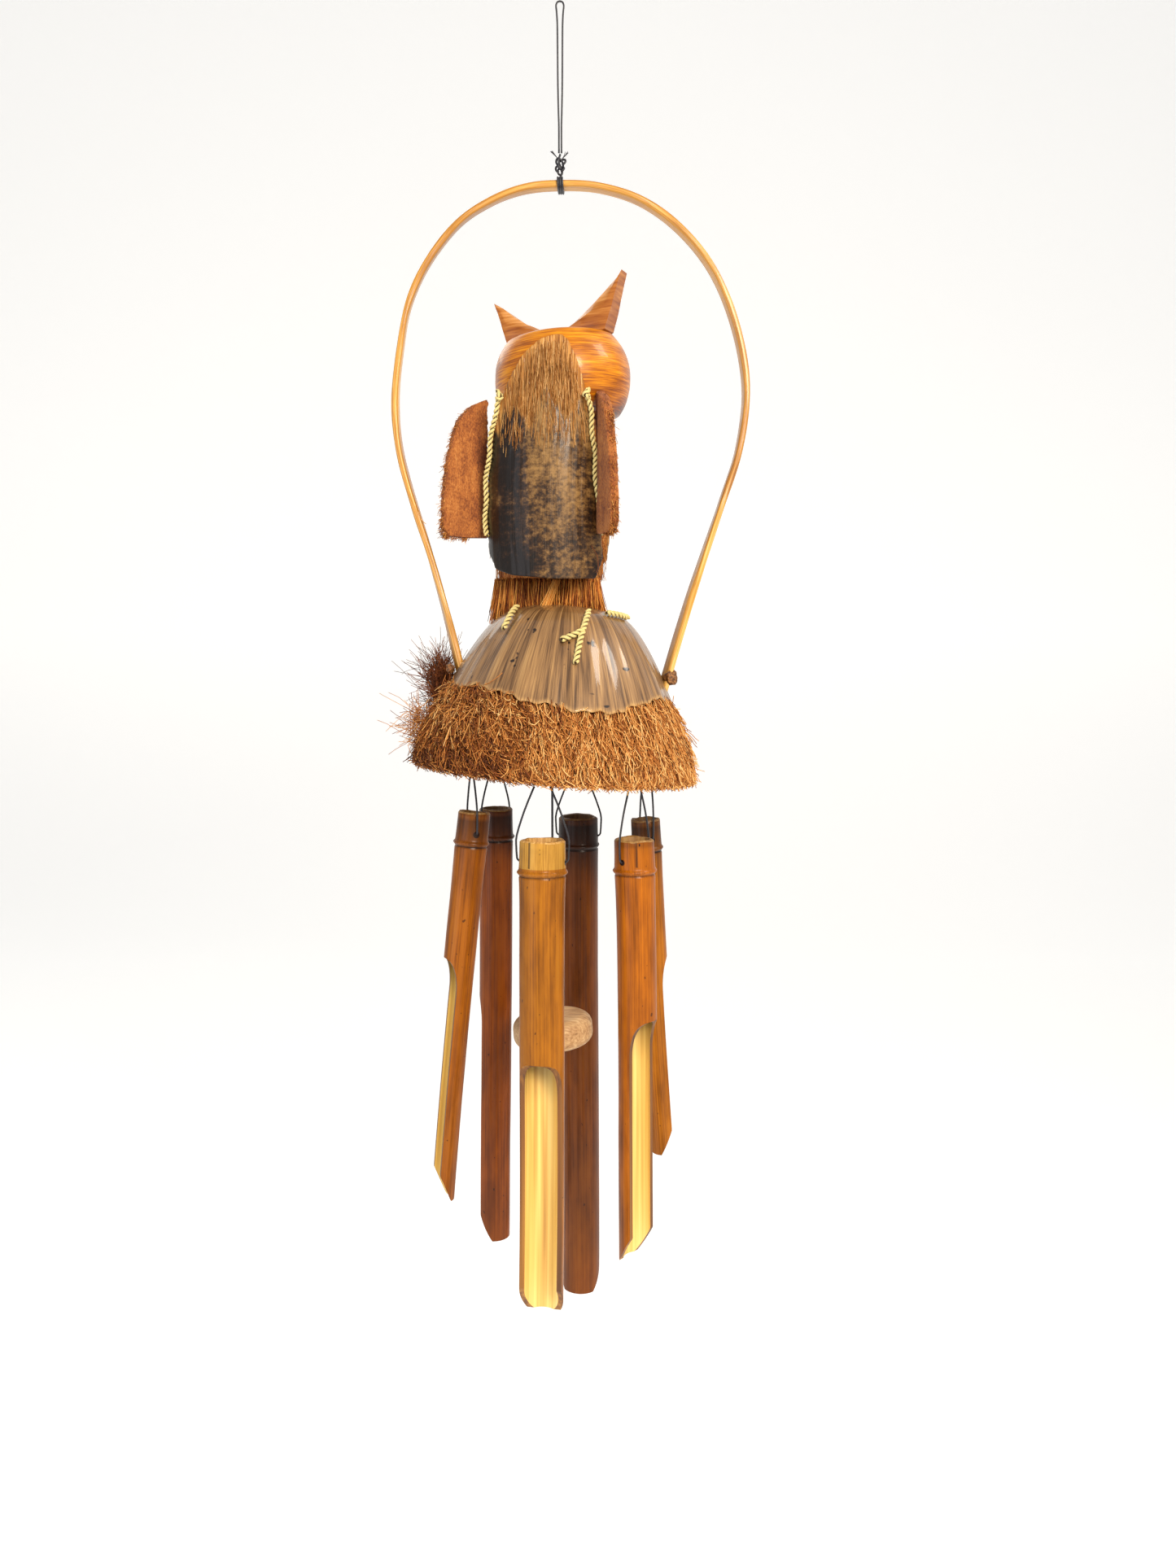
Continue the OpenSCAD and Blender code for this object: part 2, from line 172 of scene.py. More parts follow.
pale_sweep()
area_light("key", (0.55, -1.35, 0.25), (0, 0, -0.33), 0.5, 27, "fff0dc")
area_light("fill", (-1.1, -1.0, -0.3), (0, 0, -0.35), 1.0, 6, "f4f6ff")
area_light("right_high", (0.85, -0.15, 0.5), (0, 0, -0.33), 0.3, 4, "fffaf0")
area_light("far_side", (-0.8, 1.4, 0.9), (0, 0, -0.35), 1.0, 6, "fff6ea")
world = bpy.data.worlds.new("studio")
world.use_nodes = True
world.node_tree.nodes["Background"].inputs["Color"].default_value = (1, 1, 1, 1)
world.node_tree.nodes["Background"].inputs["Strength"].default_value = 0.5
bpy.context.scene.world = world
bpy.context.scene.view_settings.view_transform = "Standard"


# ---------------------------------------------------------------- cords
# Waxed black nylon cord. One length makes the hanging loop; six more each go from an anchor knot under the
# roof, in at one side of a bamboo tube, across it and back up to a second knot; the last carries the
# clapper.

LOOP_D = 0.0009
CORD_D = 0.0010
CLAPPER_CORD_D = 0.0012
RING_R = 0.049
HOLE_DEPTH = 0.011
OVER_RIM = 0.002
ROOF_X, ROOF_PIVOT_Z, ROOF_END_Z, ROOF_TILT = -0.001, -0.350, -0.386, math.radians(4.5)
OWL_X = -0.005

# direction (degrees), outer radius, top height, length, start of the scoop below the top, lean (degrees),
# half the distance between the two anchor knots
TUBES = [
    (200, 0.0086, -0.405, 0.206, 0.077, 6.0, 0.003),
    (140, 0.0096, -0.409, 0.250, 0.105, 1.0, 0.003),
    (260, 0.0118, -0.415, 0.243, 0.111, 2.0, 0.004),
    (80, 0.0116, -0.416, 0.285, 0.130, 1.5, 0.003),
    (320, 0.0105, -0.417, 0.222, 0.093, 1.0, 0.005),
    (20, 0.0082, -0.413, 0.190, 0.077, 4.0, 0.006),
]


def dress(tree, surface, colour, height, strength, depth, **more):
    """Gives the shader its colour and a relief that follows height, depth metres deep, and any more
    inputs."""
    relief = node(tree, "Bump", {"Height": height, "Strength": strength, "Distance": depth})
    connect(tree, surface, {"Base Color": colour, "Normal": relief.outputs["Normal"], **more})


def black_cord_material():
    """Waxed braided nylon: nearly black, satin, with a fine braid 0.4 mm long that only breaks the
    highlight."""
    material, tree, surface = new_material("waxed_nylon_braided", 0.42)
    own = node(tree, "TexCoord").outputs["Object"]
    braid = node(tree, "TexNoise", {"Vector": own, "Scale": 2500.0, "Detail": 1.0})
    shade = node(tree, "ValToRGB", {"Fac": braid.outputs["Fac"]}, [(0.3, "0d0d10"), (0.7, "2a2a33")])
    dress(tree, surface, shade.outputs["Color"], braid.outputs["Fac"], 0.5, 0.0002)
    return material


def smooth_line(points, per_span):
    """A Catmull-Rom curve: each span between two points is a cubic whose slopes come from the points beside
    it."""
    p = np.asarray(points, dtype=float)
    q = np.concatenate([p[:1], p, p[-1:]])
    u = (np.arange(per_span) / per_span)[None, :, None]
    a, b, c, d = (q[k : k + len(p) - 1, None, :] for k in range(4))
    line = 0.5 * (2 * b + (c - a) * u + (2 * a - 5 * b + 4 * c - d) * u**2 + (3 * b - a - 3 * c + d) * u**3)
    return np.concatenate([line.reshape(-1, p.shape[1]), p[-1:]])


def bars(lines, radii, sides, across=(0.31, 0.87, 0.38)):
    """Round bars along lines, an (s, p, 3) array: at each point a ring of corners stands square to the
    line, at radius times cos and sin of equal steps, and a last corner at each end closes the bar. Returns
    the corners, quads, end triangles and, for each corner, the distance along its bar and its place round
    it."""
    lines = np.asarray(lines, dtype=float)
    s, p, _ = lines.shape
    along = np.gradient(lines, axis=1)
    along /= np.linalg.norm(along, axis=-1, keepdims=True) + 1e-12
    out = np.cross(along, np.asarray(across))
    out /= np.linalg.norm(out, axis=-1, keepdims=True) + 1e-12
    up = np.cross(along, out)
    turn = 2 * np.pi * np.arange(sides) / sides
    radii = np.broadcast_to(radii, (s, p))[..., None, None]
    rings = lines[:, :, None] + radii * (
        np.cos(turn)[:, None] * out[:, :, None] + np.sin(turn)[:, None] * up[:, :, None]
    )
    size = p * sides + 2
    corners = np.concatenate([rings.reshape(s, -1, 3), lines[:, :1], lines[:, -1:]], axis=1)
    first = (np.arange(s) * size)[:, None, None]
    quads = grid_faces(p, sides, True)[None] + first
    j = np.arange(sides)
    start = np.stack([(j + 1) % sides, j, np.full(sides, size - 2)], axis=-1)
    last = (p - 1) * sides
    end = np.stack([last + j, last + (j + 1) % sides, np.full(sides, size - 1)], axis=-1)
    steps = np.linalg.norm(np.diff(lines, axis=1), axis=-1)
    gone = np.concatenate([np.zeros((s, 1)), np.cumsum(steps, axis=1)], 1)
    run = np.concatenate([np.repeat(gone, sides, axis=1), gone[:, :1], gone[:, -1:]], axis=1)
    triangles = (np.stack([start, end])[:, None] + first).reshape(-1, 3)
    return corners.reshape(-1, 3), quads.reshape(-1, 4), triangles, run


def cord_piece(name, line, diameter, body, node_name):
    """One cord as a round mesh tube along line."""
    corners, quads, ends, _ = bars(line[None], diameter / 2, 10, (0, 1, 0.02))
    piece = put_mesh(name, corners, quads, ends, material=BLACK_CORD)
    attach(piece, body)
    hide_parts(node_name)
    return piece


BLACK_CORD = black_cord_material()

half_loop = np.array([
    (0, -0.45), (1.15, -0.8), (1.8, -1.8), (1.9, -3.2), (1.6, -6), (1.3, -12), (1.2, -24), (1.1, -40),
    (0.8, -54), (0.65, -60), (0.65, -72.6),
]) / 1000
half_loop = smooth_line(half_loop, 4)
loop_xz = np.concatenate([half_loop[:0:-1] * (-1, 1), half_loop])
loop_line = np.stack([loop_xz[:, 0], np.zeros(len(loop_xz)), loop_xz[:, 1]], axis=1)
cord_piece("hanging_loop_cord", loop_line, LOOP_D, "hanging_loop", "hanging_loop")


def under_roof(x):
    """Height of the leaning roof's underside at x."""
    down = (ROOF_END_Z - ROOF_PIVOT_Z) / math.cos(ROOF_TILT)
    return ROOF_PIVOT_Z + down - (x - ROOF_X) * math.tan(ROOF_TILT)


def tube_cord_line(direction, radius, top, half):
    """From the right-hand knot outwards over the tube's rim, down to its hole, round a small turn into its
    side, across it, and up the same way."""
    a = math.radians(direction)
    rise = under_roof(RING_R * math.cos(a)) - 0.003 - (top - HOLE_DEPTH)
    beside = radius + 0.0012
    turn_r = 0.0022
    turn = np.radians(np.linspace(0, -90, 6))
    bend = np.stack([beside - turn_r + turn_r * np.cos(turn), turn_r + turn_r * np.sin(turn)], axis=1)
    clear = HOLE_DEPTH + OVER_RIM
    down = [(half, rise), ((half + beside) / 2 + 0.0006, (rise + clear) / 2), (beside, clear),
            (beside + 0.0003, 0.007)]
    right = np.concatenate([down, bend, [(radius - 0.005, 0), (0, 0)]])
    flat = smooth_line(np.concatenate([right, right[-2::-1] * (-1, 1)]), 3)
    ring = RING_R * np.array([math.cos(a), math.sin(a)])
    aside = np.array([-math.sin(a), math.cos(a)])
    return np.column_stack([ring + flat[:, :1] * aside, flat[:, 1] + top - HOLE_DEPTH])


for k, (direction, radius, top, *_, half) in enumerate(TUBES, 1):
    line = tube_cord_line(direction, radius, top, half)
    cord_piece(f"tube_cord_black_{k}", line, CORD_D, f"cord_{k}", f"tube_cord_{k}")

clapper_top, clapper_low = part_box("clapper_cord")[1][2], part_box("clapper_cord")[0][2]
clapper_line = np.zeros((16, 3))
clapper_line[:, 0] = OWL_X
clapper_line[:, 2] = np.linspace(clapper_top, clapper_low, 16)
cord_piece("clapper_cord_black", clapper_line, CLAPPER_CORD_D, "clapper", "clapper_cord")


# ---------------------------------------------------------------- knots and lashing
# Where the loop ends, its cord is tied in a lumpy overhand knot with two frayed tails, and lashed three
# times round the hoop. The tube cords end in small hard knots under the roof; the clapper has a hitch above
# and a stop below.


def knot_line(centre, size, turns, squash, steps=64):
    """A cord wound over itself: a ring that crosses its own middle, x = sin t + 2 sin 2t, y = cos t - 2 cos
    2t, z = -sin 3t, the classic overhand knot, drawn size wide and stretched upright by squash."""
    t = np.linspace(0.15, 2 * np.pi * turns - 0.15, steps)
    shape = np.stack([np.sin(t) + 2 * np.sin(2 * t), -np.sin(3 * t),
                      (np.cos(t) - 2 * np.cos(2 * t)) * squash], 1)
    return np.asarray(centre) + shape * size / 6


def joined(parts):
    """Several sets of bars as one: their corners, quads and end triangles, renumbered."""
    starts = np.cumsum([0] + [len(part[0]) for part in parts[:-1]])
    faces = [np.concatenate([part[k] + first for part, first in zip(parts, starts)]) for k in (1, 2)]
    return np.concatenate([part[0] for part in parts]), *faces


def knot_piece(name, lines, diameter, body, nodes):
    """Several wound cords as one black piece on a body, standing for the CAD nodes named."""
    parts = [bars(line[None], diameter / 2, 8) for line in lines]
    piece = put_mesh(name, *joined(parts), material=BLACK_CORD)
    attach(piece, body)
    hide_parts(*nodes)
    return piece


def frayed_tail(start, end, spread, seed):
    """Five thin threads from start, which fan out by spread as they reach end."""
    rng = np.random.default_rng(seed)
    u = np.linspace(0, 1, 8)[:, None]
    return [np.add(start, u * np.subtract(end, start)) + u**2 * rng.normal(0, spread, 3) for _ in range(5)]


knot_piece("loop_knot_tied", [knot_line((0.0003, 0, -0.0775), 0.0052, 1, 1.15),
                              knot_line((-0.0002, 0, -0.0808), 0.0046, 1, 1.0),
                              smooth_line([(0, 0, -0.0733), (-0.0008, -0.001, -0.077),
                                           (0.001, 0.0008, -0.081), (0, 0, -0.0845)], 6)], 0.0011,
           "loop_knot", ["loop_knot"])
tails = frayed_tail((0, 0, -0.0765), (-0.0042, -0.001, -0.0722), 0.0006, 1)
tails += frayed_tail((0, 0, -0.0765), (0.0040, -0.0005, -0.0725), 0.0006, 2)
knot_piece("loop_knot_frayed_tails", tails, 0.0003, "loop_knot", [])


def lashing_line():
    """Three turns round a rounded rectangle in the YZ plane, moving along X by one cord a turn."""
    t = np.linspace(0, 6 * np.pi, 200)
    wide, tall = 0.0054, 0.00265
    around = (np.abs(np.cos(t)) ** 4 + np.abs(np.sin(t)) ** 4) ** -0.25
    x = (t / (2 * np.pi) - 1.5) * 0.00105
    return np.stack([x, wide * np.cos(t) * around, -0.0883 + tall * np.sin(t) * around], axis=1)


knot_piece("hoop_lashing_turns", [lashing_line()], 0.0011, "hoop_lashing", ["hoop_lashing"])

anchor_lines = []
for direction, *_, half in TUBES:
    a = math.radians(direction)
    ring = RING_R * np.array([math.cos(a), math.sin(a)])
    for side in (-1, 1):
        x, y = ring + side * half * np.array([-math.sin(a), math.cos(a)])
        anchor_lines.append(knot_line((x, y, under_roof(ring[0]) - 0.0007), 0.0034, 1, 0.9, 28))
knot_piece("anchor_knots_tied", anchor_lines, 0.0010, "chime", ["cord_knots"])
hitch = np.add(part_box("clapper_hitch")[0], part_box("clapper_hitch")[1]) / 2
knot_piece("clapper_hitch_tied", [knot_line(hitch, 0.0034, 1, 0.9, 40)], 0.0011, "clapper_hitch",
           ["clapper_hitch"])
stop = np.add(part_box("clapper_knot")[0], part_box("clapper_knot")[1]) / 2
knot_piece(
    "clapper_stop_knot",
    [knot_line(stop, 0.0048, 1, 1.0, 48), knot_line(stop, 0.0036, 1, -1.0, 48)],
    0.0013, "clapper", ["clapper_knot"],
)


# ---------------------------------------------------------------- hoop
# One strip split from bamboo, planed to 9 by 3.4 mm, steamed round into a drop shape and varnished. Its
# feet are poked through the roof's skin. The outer face keeps the bamboo's hard bright skin; a splinter
# lifts on the left.

HOOP_W, HOOP_T = 0.009, 0.0034
FOOT_TURN = math.radians(24)


def ripple(points, scale, seed, octaves=3):
    """Smooth bumps of about 1: eight sine waves in random directions, and the same again twice as fine and
    half as high for each octave. scale is the longest wave, in metres."""
    rng = np.random.default_rng(seed)
    total = 0
    for octave in range(octaves):
        ways = rng.normal(size=(8, 3))
        ways *= 2 * np.pi * 2**octave / scale / np.linalg.norm(ways, axis=1, keepdims=True)
        phase = rng.uniform(0, 2 * np.pi, 8)
        total = total + np.sin(points @ ways.T + phase).sum(-1) / 4 / 2**octave
    return total


def pattern(tree, where, scale, turn=(0, 0, 0), **noise):
    """Noise drawn out along the axes: where is read at scale waves to the metre, turned by turn radians.
    The rest are the noise's own inputs."""
    way = node(tree, "Mapping", {"Vector": where, "Scale": scale, "Rotation": turn})
    return node(tree, "TexNoise", {"Vector": way.outputs["Vector"], "Scale": 1.0, **noise}).outputs["Fac"]


def bamboo_strip_material():
    """Split bamboo under satin varnish: long fibres 0.5 mm apart, honey brown with paler and scorched
    runs."""
    material, tree, surface = new_material("split_bamboo_varnished", 0.38, Coat_Weight=0.35,
                                           Coat_Roughness=0.2)
    grain = node(tree, "Attribute", attribute_name="grain").outputs["Vector"]
    fibre = pattern(tree, grain, (12, 1800, 1800), Detail=3.0)
    patch = pattern(tree, grain, (9, 60, 60), Detail=2.0)
    mixed = node(tree, "Math", {0: fibre, 1: patch}, operation="ADD")
    shade = node(tree, "ValToRGB",
                 {"Fac": node(tree, "Math", {0: mixed.outputs[0], 1: 0.5},
                              operation="MULTIPLY").outputs[0]},
                 [(0.33, "7d4a14"), (0.45, "a8701f"), (0.56, "cf963a"), (0.70, "ecc476")])
    dress(tree, surface, shade.outputs["Color"], fibre, 0.5, 0.0004)
    return material


def with_middles(rings):
    """The corners of rings, an (r, c, 3) array, as one list, with the middles of the first and last ring
    added."""
    return np.concatenate([rings.reshape(-1, 3), rings[:1].mean(1), rings[-1:].mean(1)])


def loft(rings):
    """Closed rings of corners, an (r, c, 3) array, joined one to the next, with a fan to the middle of each
    end."""
    r, c, _ = rings.shape
    j = np.arange(c)
    low = np.stack([(j + 1) % c, j, np.full(c, r * c)], axis=-1)
    high = np.stack([(r - 1) * c + j, (r - 1) * c + (j + 1) % c, np.full(c, r * c + 1)], axis=-1)
    return with_middles(rings), grid_faces(r, c, True), np.concatenate([low, high])


def outward(piece, merge=1e-7):
    """Merges corners that lie together and turns every face outwards."""
    work = bmesh.new()
    work.from_mesh(piece.data)
    bmesh.ops.remove_doubles(work, verts=work.verts, dist=merge)
    bmesh.ops.recalc_face_normals(work, faces=work.faces)
    work.to_mesh(piece.data)
    work.free()
    return piece


def settle(piece, body, slot, *nodes):
    """The last step of a piece: it rides on its body and stands for its CAD nodes. Its slot is not used."""
    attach(piece, body)
    if nodes:
        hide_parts(*nodes)
    return piece


HOOP_LINE = np.array([(-50, -346), (-54, -328), (-60, -303), (-68, -273), (-76, -247), (-83, -220),
                      (-85, -195), (-82, -168), (-77, -145), (-67, -125), (-52, -107), (-35, -96),
                      (-18, -90), (0, -88.3), (20, -89.5), (41, -96), (60, -109), (77, -129), (89, -156),
                      (95, -187), (92, -218), (83, -247), (72, -280), (62, -312), (52, -347)]) / 1000


def hoop_strip():
    """A rounded rectangle, |x/a|^5 + |y/b|^5 = 1, carried along the hoop's line, its thickness wandering a
    little and its face turned a few degrees where the strip twists, and more towards the feet."""
    line = smooth_line(HOOP_LINE, 8)
    along = np.gradient(line, axis=0)
    along /= np.linalg.norm(along, axis=1, keepdims=True)
    side = np.stack([-along[:, 1], along[:, 0]], axis=1)
    gone = np.concatenate([[0], np.cumsum(np.linalg.norm(np.diff(line, axis=0), axis=1))])
    turn = 2 * np.pi * np.arange(20) / 20
    round_ = (np.abs(np.cos(turn)) ** 5 + np.abs(np.sin(turn)) ** 5) ** -0.2
    wander = 1 + 0.06 * np.sin(gone * 90) + 0.04 * np.sin(gone * 210 + 1)
    flat = HOOP_T / 2 * np.outer(wander, np.cos(turn) * round_)
    deep = HOOP_W / 2 * np.outer(2 - wander, np.sin(turn) * round_)
    low = np.clip((-0.225 - line[:, 1:]) / 0.10, 0, 1)
    lean = 0.10 * np.sin(gone * 17 + 0.5)[:, None] * np.clip(np.abs(line[:, :1]) / 0.02 - 0.6, 0, 1)
    lean = lean + FOOT_TURN * low * (3 * low - 2 * low**2) * np.sign(line[:, :1])
    across, depth = flat * np.cos(lean) - deep * np.sin(lean), flat * np.sin(lean) + deep * np.cos(lean)
    rings = np.stack([line[:, :1] + side[:, :1] * across, depth, line[:, 1:] + side[:, 1:] * across], axis=-1)
    grain = np.stack(np.broadcast_arrays(gone[:, None], flat, deep), axis=-1).reshape(-1, 3)
    grain = np.concatenate([grain, [[0, 0, 0], [gone[-1], 0, 0]]])
    return put_mesh("hoop_bamboo_strip", *loft(rings), material=STRIP, grain=grain)


STRIP = bamboo_strip_material()
settle(outward(hoop_strip()), "chime", "hoop_strip", "hoop")

splinter_line = smooth_line([(-0.0735, -0.0035, -0.250), (-0.0722, -0.0040, -0.2545),
                             (-0.0695, -0.0042, -0.2570)], 5)
corners, quads, ends, run = bars(splinter_line[None], np.linspace(0.0006, 0.0001, 11)[None], 5)
grain = np.stack([run.ravel(), corners[:, 1], corners[:, 2]], axis=1)
settle(put_mesh("hoop_splinter", corners, quads, ends, material=STRIP, grain=grain), "chime", "hoop_strip")


# ---------------------------------------------------------------- glue at the hoop's feet
# Brown glue is dabbed where the strip enters the roof: a lump on the right foot that has caught coir fibres,
# and a smaller one on the left. It set rough and dull.


def lump(name, centre, radii, seed, material):
    """A ball, radius times (sin a cos b, sin a sin b, cos a), pushed in and out by ripples a third of its
    size."""
    a, b = np.meshgrid(np.linspace(0, np.pi, 20), 2 * np.pi * np.arange(28) / 28, indexing="ij")
    ball = np.stack([np.sin(a) * np.cos(b), np.sin(a) * np.sin(b), np.cos(a)], axis=-1)
    ball = ball * (1 + 0.16 * ripple(ball.reshape(-1, 3), 1.1, seed).reshape(a.shape))[..., None]
    corners = np.asarray(centre) + ball * radii
    return outward(put_mesh(name, corners, grid_faces(20, 28, True), material=material), 2e-5)


def glue_material():
    """Hot-melt glue with coir dust set in it: brown, nearly matte, with lumps about 1 mm across."""
    material, tree, surface = new_material("hot_melt_glue_set", 0.6)
    own = node(tree, "TexCoord").outputs["Object"]
    dust = node(tree, "TexNoise", {"Vector": own, "Scale": 900.0, "Detail": 3.0})
    shade = node(tree, "ValToRGB", {"Fac": dust.outputs["Fac"]},
                 [(0.35, "3f2410"), (0.6, "8a5a2c"), (0.8, "c29055")])
    dress(tree, surface, shade.outputs["Color"], dust.outputs["Fac"], 0.8, 0.0006)
    return material


GLUE = glue_material()
settle(lump("glue_right_foot", (0.0575, -0.003, -0.336), (0.0034, 0.0036, 0.0042), 3, GLUE), "chime", "glue",
       "hoop_glue")
settle(lump("glue_left_foot", (-0.058, -0.003, -0.331), (0.0022, 0.0026, 0.0024), 4, GLUE), "chime", "glue")


# ---------------------------------------------------------------- head, ears and face
# A block of soft wood, turned to a flattened ball and stained orange under gloss varnish, its grain level.
# Two bevelled ear plates are glued on the flat top. The face is carved dark: ringed round eyes and a hooked
# beak.

HEAD_PLACE = (0.001, 0.005, -0.183)
HEAD_HALF = 0.021
OWL_TURN = math.radians(-20)
HEAD_TILT = math.radians(-4)


def turned(points, about_z, about_y=0.0, move=(0, 0, 0)):
    """Points turned about Z, then about Y, then moved."""
    c, s = math.cos(about_z), math.sin(about_z)
    d, t = math.cos(about_y), math.sin(about_y)
    spin = np.array([[c, -s, 0], [s, c, 0], [0, 0, 1]])
    tip = np.array([[d, 0, t], [0, 1, 0], [-t, 0, d]])
    return np.asarray(points) @ (tip @ spin).T + np.asarray(move)


def on_head(points):
    """From the head's own axes, face towards +Y, to its place on the chime."""
    return turned(points, OWL_TURN, HEAD_TILT, HEAD_PLACE)


def varnished_wood_material(name, colours, streak, roughness, coat):
    """Stained wood: level grain as long streaks about 1 mm high, slow bands where the stain took better, a
    tone attribute that makes it paler where a facet was cut after staining and darker where shade is
    painted under the head, and varnish on top."""
    material, tree, surface = new_material(name, roughness, Coat_Weight=coat, Coat_Roughness=0.12,
                                           Specular_IOR_Level=0.3)
    grain = node(tree, "Attribute", attribute_name="grain").outputs["Vector"]
    tone = node(tree, "Attribute", attribute_name="tone").outputs["Fac"]
    fine = pattern(tree, grain, (streak[0], streak[0], streak[1]), Detail=4.0, Roughness=0.6)
    band = pattern(tree, grain, (25, 25, 190), turn=(0.05, 0.08, 0), Detail=2.0, Distortion=0.6)
    both = node(tree, "Mix", {0: 0.42, 2: fine, 3: band}, data_type="FLOAT")
    lifted = node(tree, "Math", {0: both.outputs[0], 1: tone}, operation="ADD")
    shade = node(tree, "ValToRGB", {"Fac": lifted.outputs[0]}, colours)
    dress(tree, surface, shade.outputs["Color"], fine, 0.35, 0.0005)
    return material


def revolved(profile, columns=72):
    """A profile of (radius, height) rows turned about Z, its radius times cos and sin of equal steps."""
    a = 2 * np.pi * np.arange(columns) / columns
    r, z = np.asarray(profile, dtype=float).T
    return np.stack([r[:, None] * np.cos(a), r[:, None] * np.sin(a),
                     np.broadcast_to(z[:, None], (len(z), columns))], -1)


def creased(piece, degrees):
    """Keeps edges sharper than this many degrees crisp, and shades the rest smooth."""
    piece.data.set_sharp_from_angle(angle=math.radians(degrees))
    return piece


HEAD_WOOD = varnished_wood_material(
    "softwood_turned_stained_varnished",
    [(0.30, "5c2903"), (0.43, "965004"), (0.52, "bd7003"), (0.60, "d08808"), (0.72, "e8ab2c")],
    (70, 1500), 0.38, 0.25,
)
side = np.radians(np.linspace(40, -40, 36))
head_profile = np.concatenate([
    [(1e-9, 0.0210), (0.012, 0.0210), (0.0215, 0.0209), (0.0252, 0.0203)],
    np.stack([0.005 + 0.030 * np.cos(side), 0.030 * np.sin(side)], axis=1),
    [(0.0252, -0.0203), (0.0215, -0.0209), (0.012, -0.0210), (1e-9, -0.0210)],
])
head = revolved(head_profile, 96)
head[..., :2] *= (1 + 0.006 * ripple(head.reshape(-1, 3), 0.025, 11).reshape(head.shape[:2]))[..., None]
# Tone of the head: a dark band round the edge of the flat top, lighter towards the top, and painted shade
# under the ball.
dark_band = np.exp(-(((head[..., 2] - 0.0185) / 0.0012) ** 2))
band_lift = -0.10 * dark_band + 0.07 * np.clip((head[..., 2] - 0.012) / 0.006, 0, 1)
under_shade = -0.16 * np.clip((-head[..., 2] - 0.012) / 0.008, 0, 1)
settle(
    outward(put_mesh("head_turned_ball", on_head(head.reshape(-1, 3)), grid_faces(len(head), 96, True),
                     material=HEAD_WOOD, grain=head, tone=(band_lift + under_shade).ravel()), 1e-6),
    "chime", "head_wood", "head",
)

EAR_FOOT, EAR_BEND = 0.027, 1.25
EAR_WOOD = varnished_wood_material(
    "softwood_sawn_stained_varnished",
    [(0.30, "5c2b0a"), (0.44, "8c4c12"), (0.54, "a06020"), (0.70, "c08444"), (0.90, "dca672")],
    (60, 900), 0.42, 0.2,
)


def ear(name, side, reach, rise):
    """Sections from the middle out to the tip. The upper edge is rise * (1 - u)^1.25 plus u mm, the lower
    edge is the head's flat top and then a straight slant to the tip; each section is bevelled to half its
    depth on top."""
    u = np.concatenate([np.linspace(0.97, 0.30, 22), np.linspace(0.27, 0.0, 12)])
    x = reach * (1 - u)
    top = rise * (1 - u) ** EAR_BEND + 0.001 * u
    low = np.clip(rise * (x - EAR_FOOT) / (reach - EAR_FOOT), -0.0004, None)
    low = np.where(x < EAR_FOOT, -0.0004, low)
    section = np.array([(-1, 0), (-1, 0.3), (-1, 0.6), (-0.93, 0.72), (-0.55, 0.95), (-0.47, 1), (0.47, 1),
                        (0.55, 0.95), (0.93, 0.72), (1, 0.6), (1, 0.3), (1, 0)])
    depth = 0.0075 * (1 - 0.45 * (1 - u) ** 3)
    y = section[:, 0] * depth[:, None]
    z = low[:, None] + section[:, 1] * (top - low)[:, None]
    rings = np.stack([np.broadcast_to(side * x[:, None], y.shape), y, z], axis=-1)
    rings += 0.00025 * ripple(rings.reshape(-1, 3), 0.02, 17).reshape(y.shape)[..., None]
    corners, quads, ends = loft(rings)
    facet = np.clip((section[:, 1] - 0.6) / 0.3, 0, 1) * 0.22
    tone = np.concatenate([np.broadcast_to(facet, y.shape).ravel(), [0, 0.2]])
    grain = corners * (1.0, 1.0, 0.8)
    piece = put_mesh(name, on_head(corners + (0, 0, HEAD_HALF)), quads, ends, material=EAR_WOOD,
                     grain=grain, tone=tone)
    return creased(outward(piece), 28)


settle(ear("ear_left_plate", -1, 0.0335, 0.022), "chime", "ear_wood", "ear_left")
settle(ear("ear_right_plate", 1, 0.037, 0.0275), "chime", "ear_wood", "ear_right")

DARK_WOOD = varnished_wood_material(
    "hardwood_turned_dark_stained",
    [(0.30, "140a05"), (0.50, "2c1a0d"), (0.62, "4a2c14"), (0.85, "c99a5c"), (1.0, "e0bb80")],
    (90, 1200), 0.3, 0.6,
)
eye_profile = np.array([
    (0.0095, 0.024), (0.0095, 0.0345), (0.0090, 0.0357), (0.0076, 0.0360), (0.0066, 0.0354), (0.0061, 0.0346),
    (0.0056, 0.0350), (0.0044, 0.0356), (0.0022, 0.0360), (1e-9, 0.0361),
])
eye = revolved(np.concatenate([[(1e-9, 0.024)], eye_profile]), 48)[..., [0, 2, 1]]
ring_tone = np.array([0, 0, 0.3, 0.36, 0.36, 0.3, 0, 0, 0, 0, 0])[:, None] * np.ones(48)
eye_pair = np.stack([eye + (s * 0.014, 0, 0.001) for s in (-1, 1)]).reshape(-1, 3)
eye_faces = grid_faces(len(eye), 48, True)
settle(outward(put_mesh("eyes_ringed", on_head(eye_pair), eye_faces, eye_faces + eye[..., 0].size,
                        material=DARK_WOOD, grain=eye_pair, tone=np.tile(ring_tone.ravel(), 2)), 1e-6),
       "chime", "dark_wood", "eyes")
u = np.linspace(0, 1, 18)
beak_line = np.stack([0 * u, 0.0300 + 0.0125 * np.sin(u * 1.75), 0.002 - 0.0195 * u**1.4], axis=1)
beak_corners, quads, ends, _ = bars(beak_line[None], (0.0056 * (1 - u) ** 0.7 + 0.0005)[None], 20,
                                    (1, 0, 0.01))
settle(put_mesh("beak_hooked", on_head(beak_corners), quads, ends, material=DARK_WOOD, grain=beak_corners,
                tone=np.zeros(len(beak_corners))), "chime", "dark_wood", "beak")


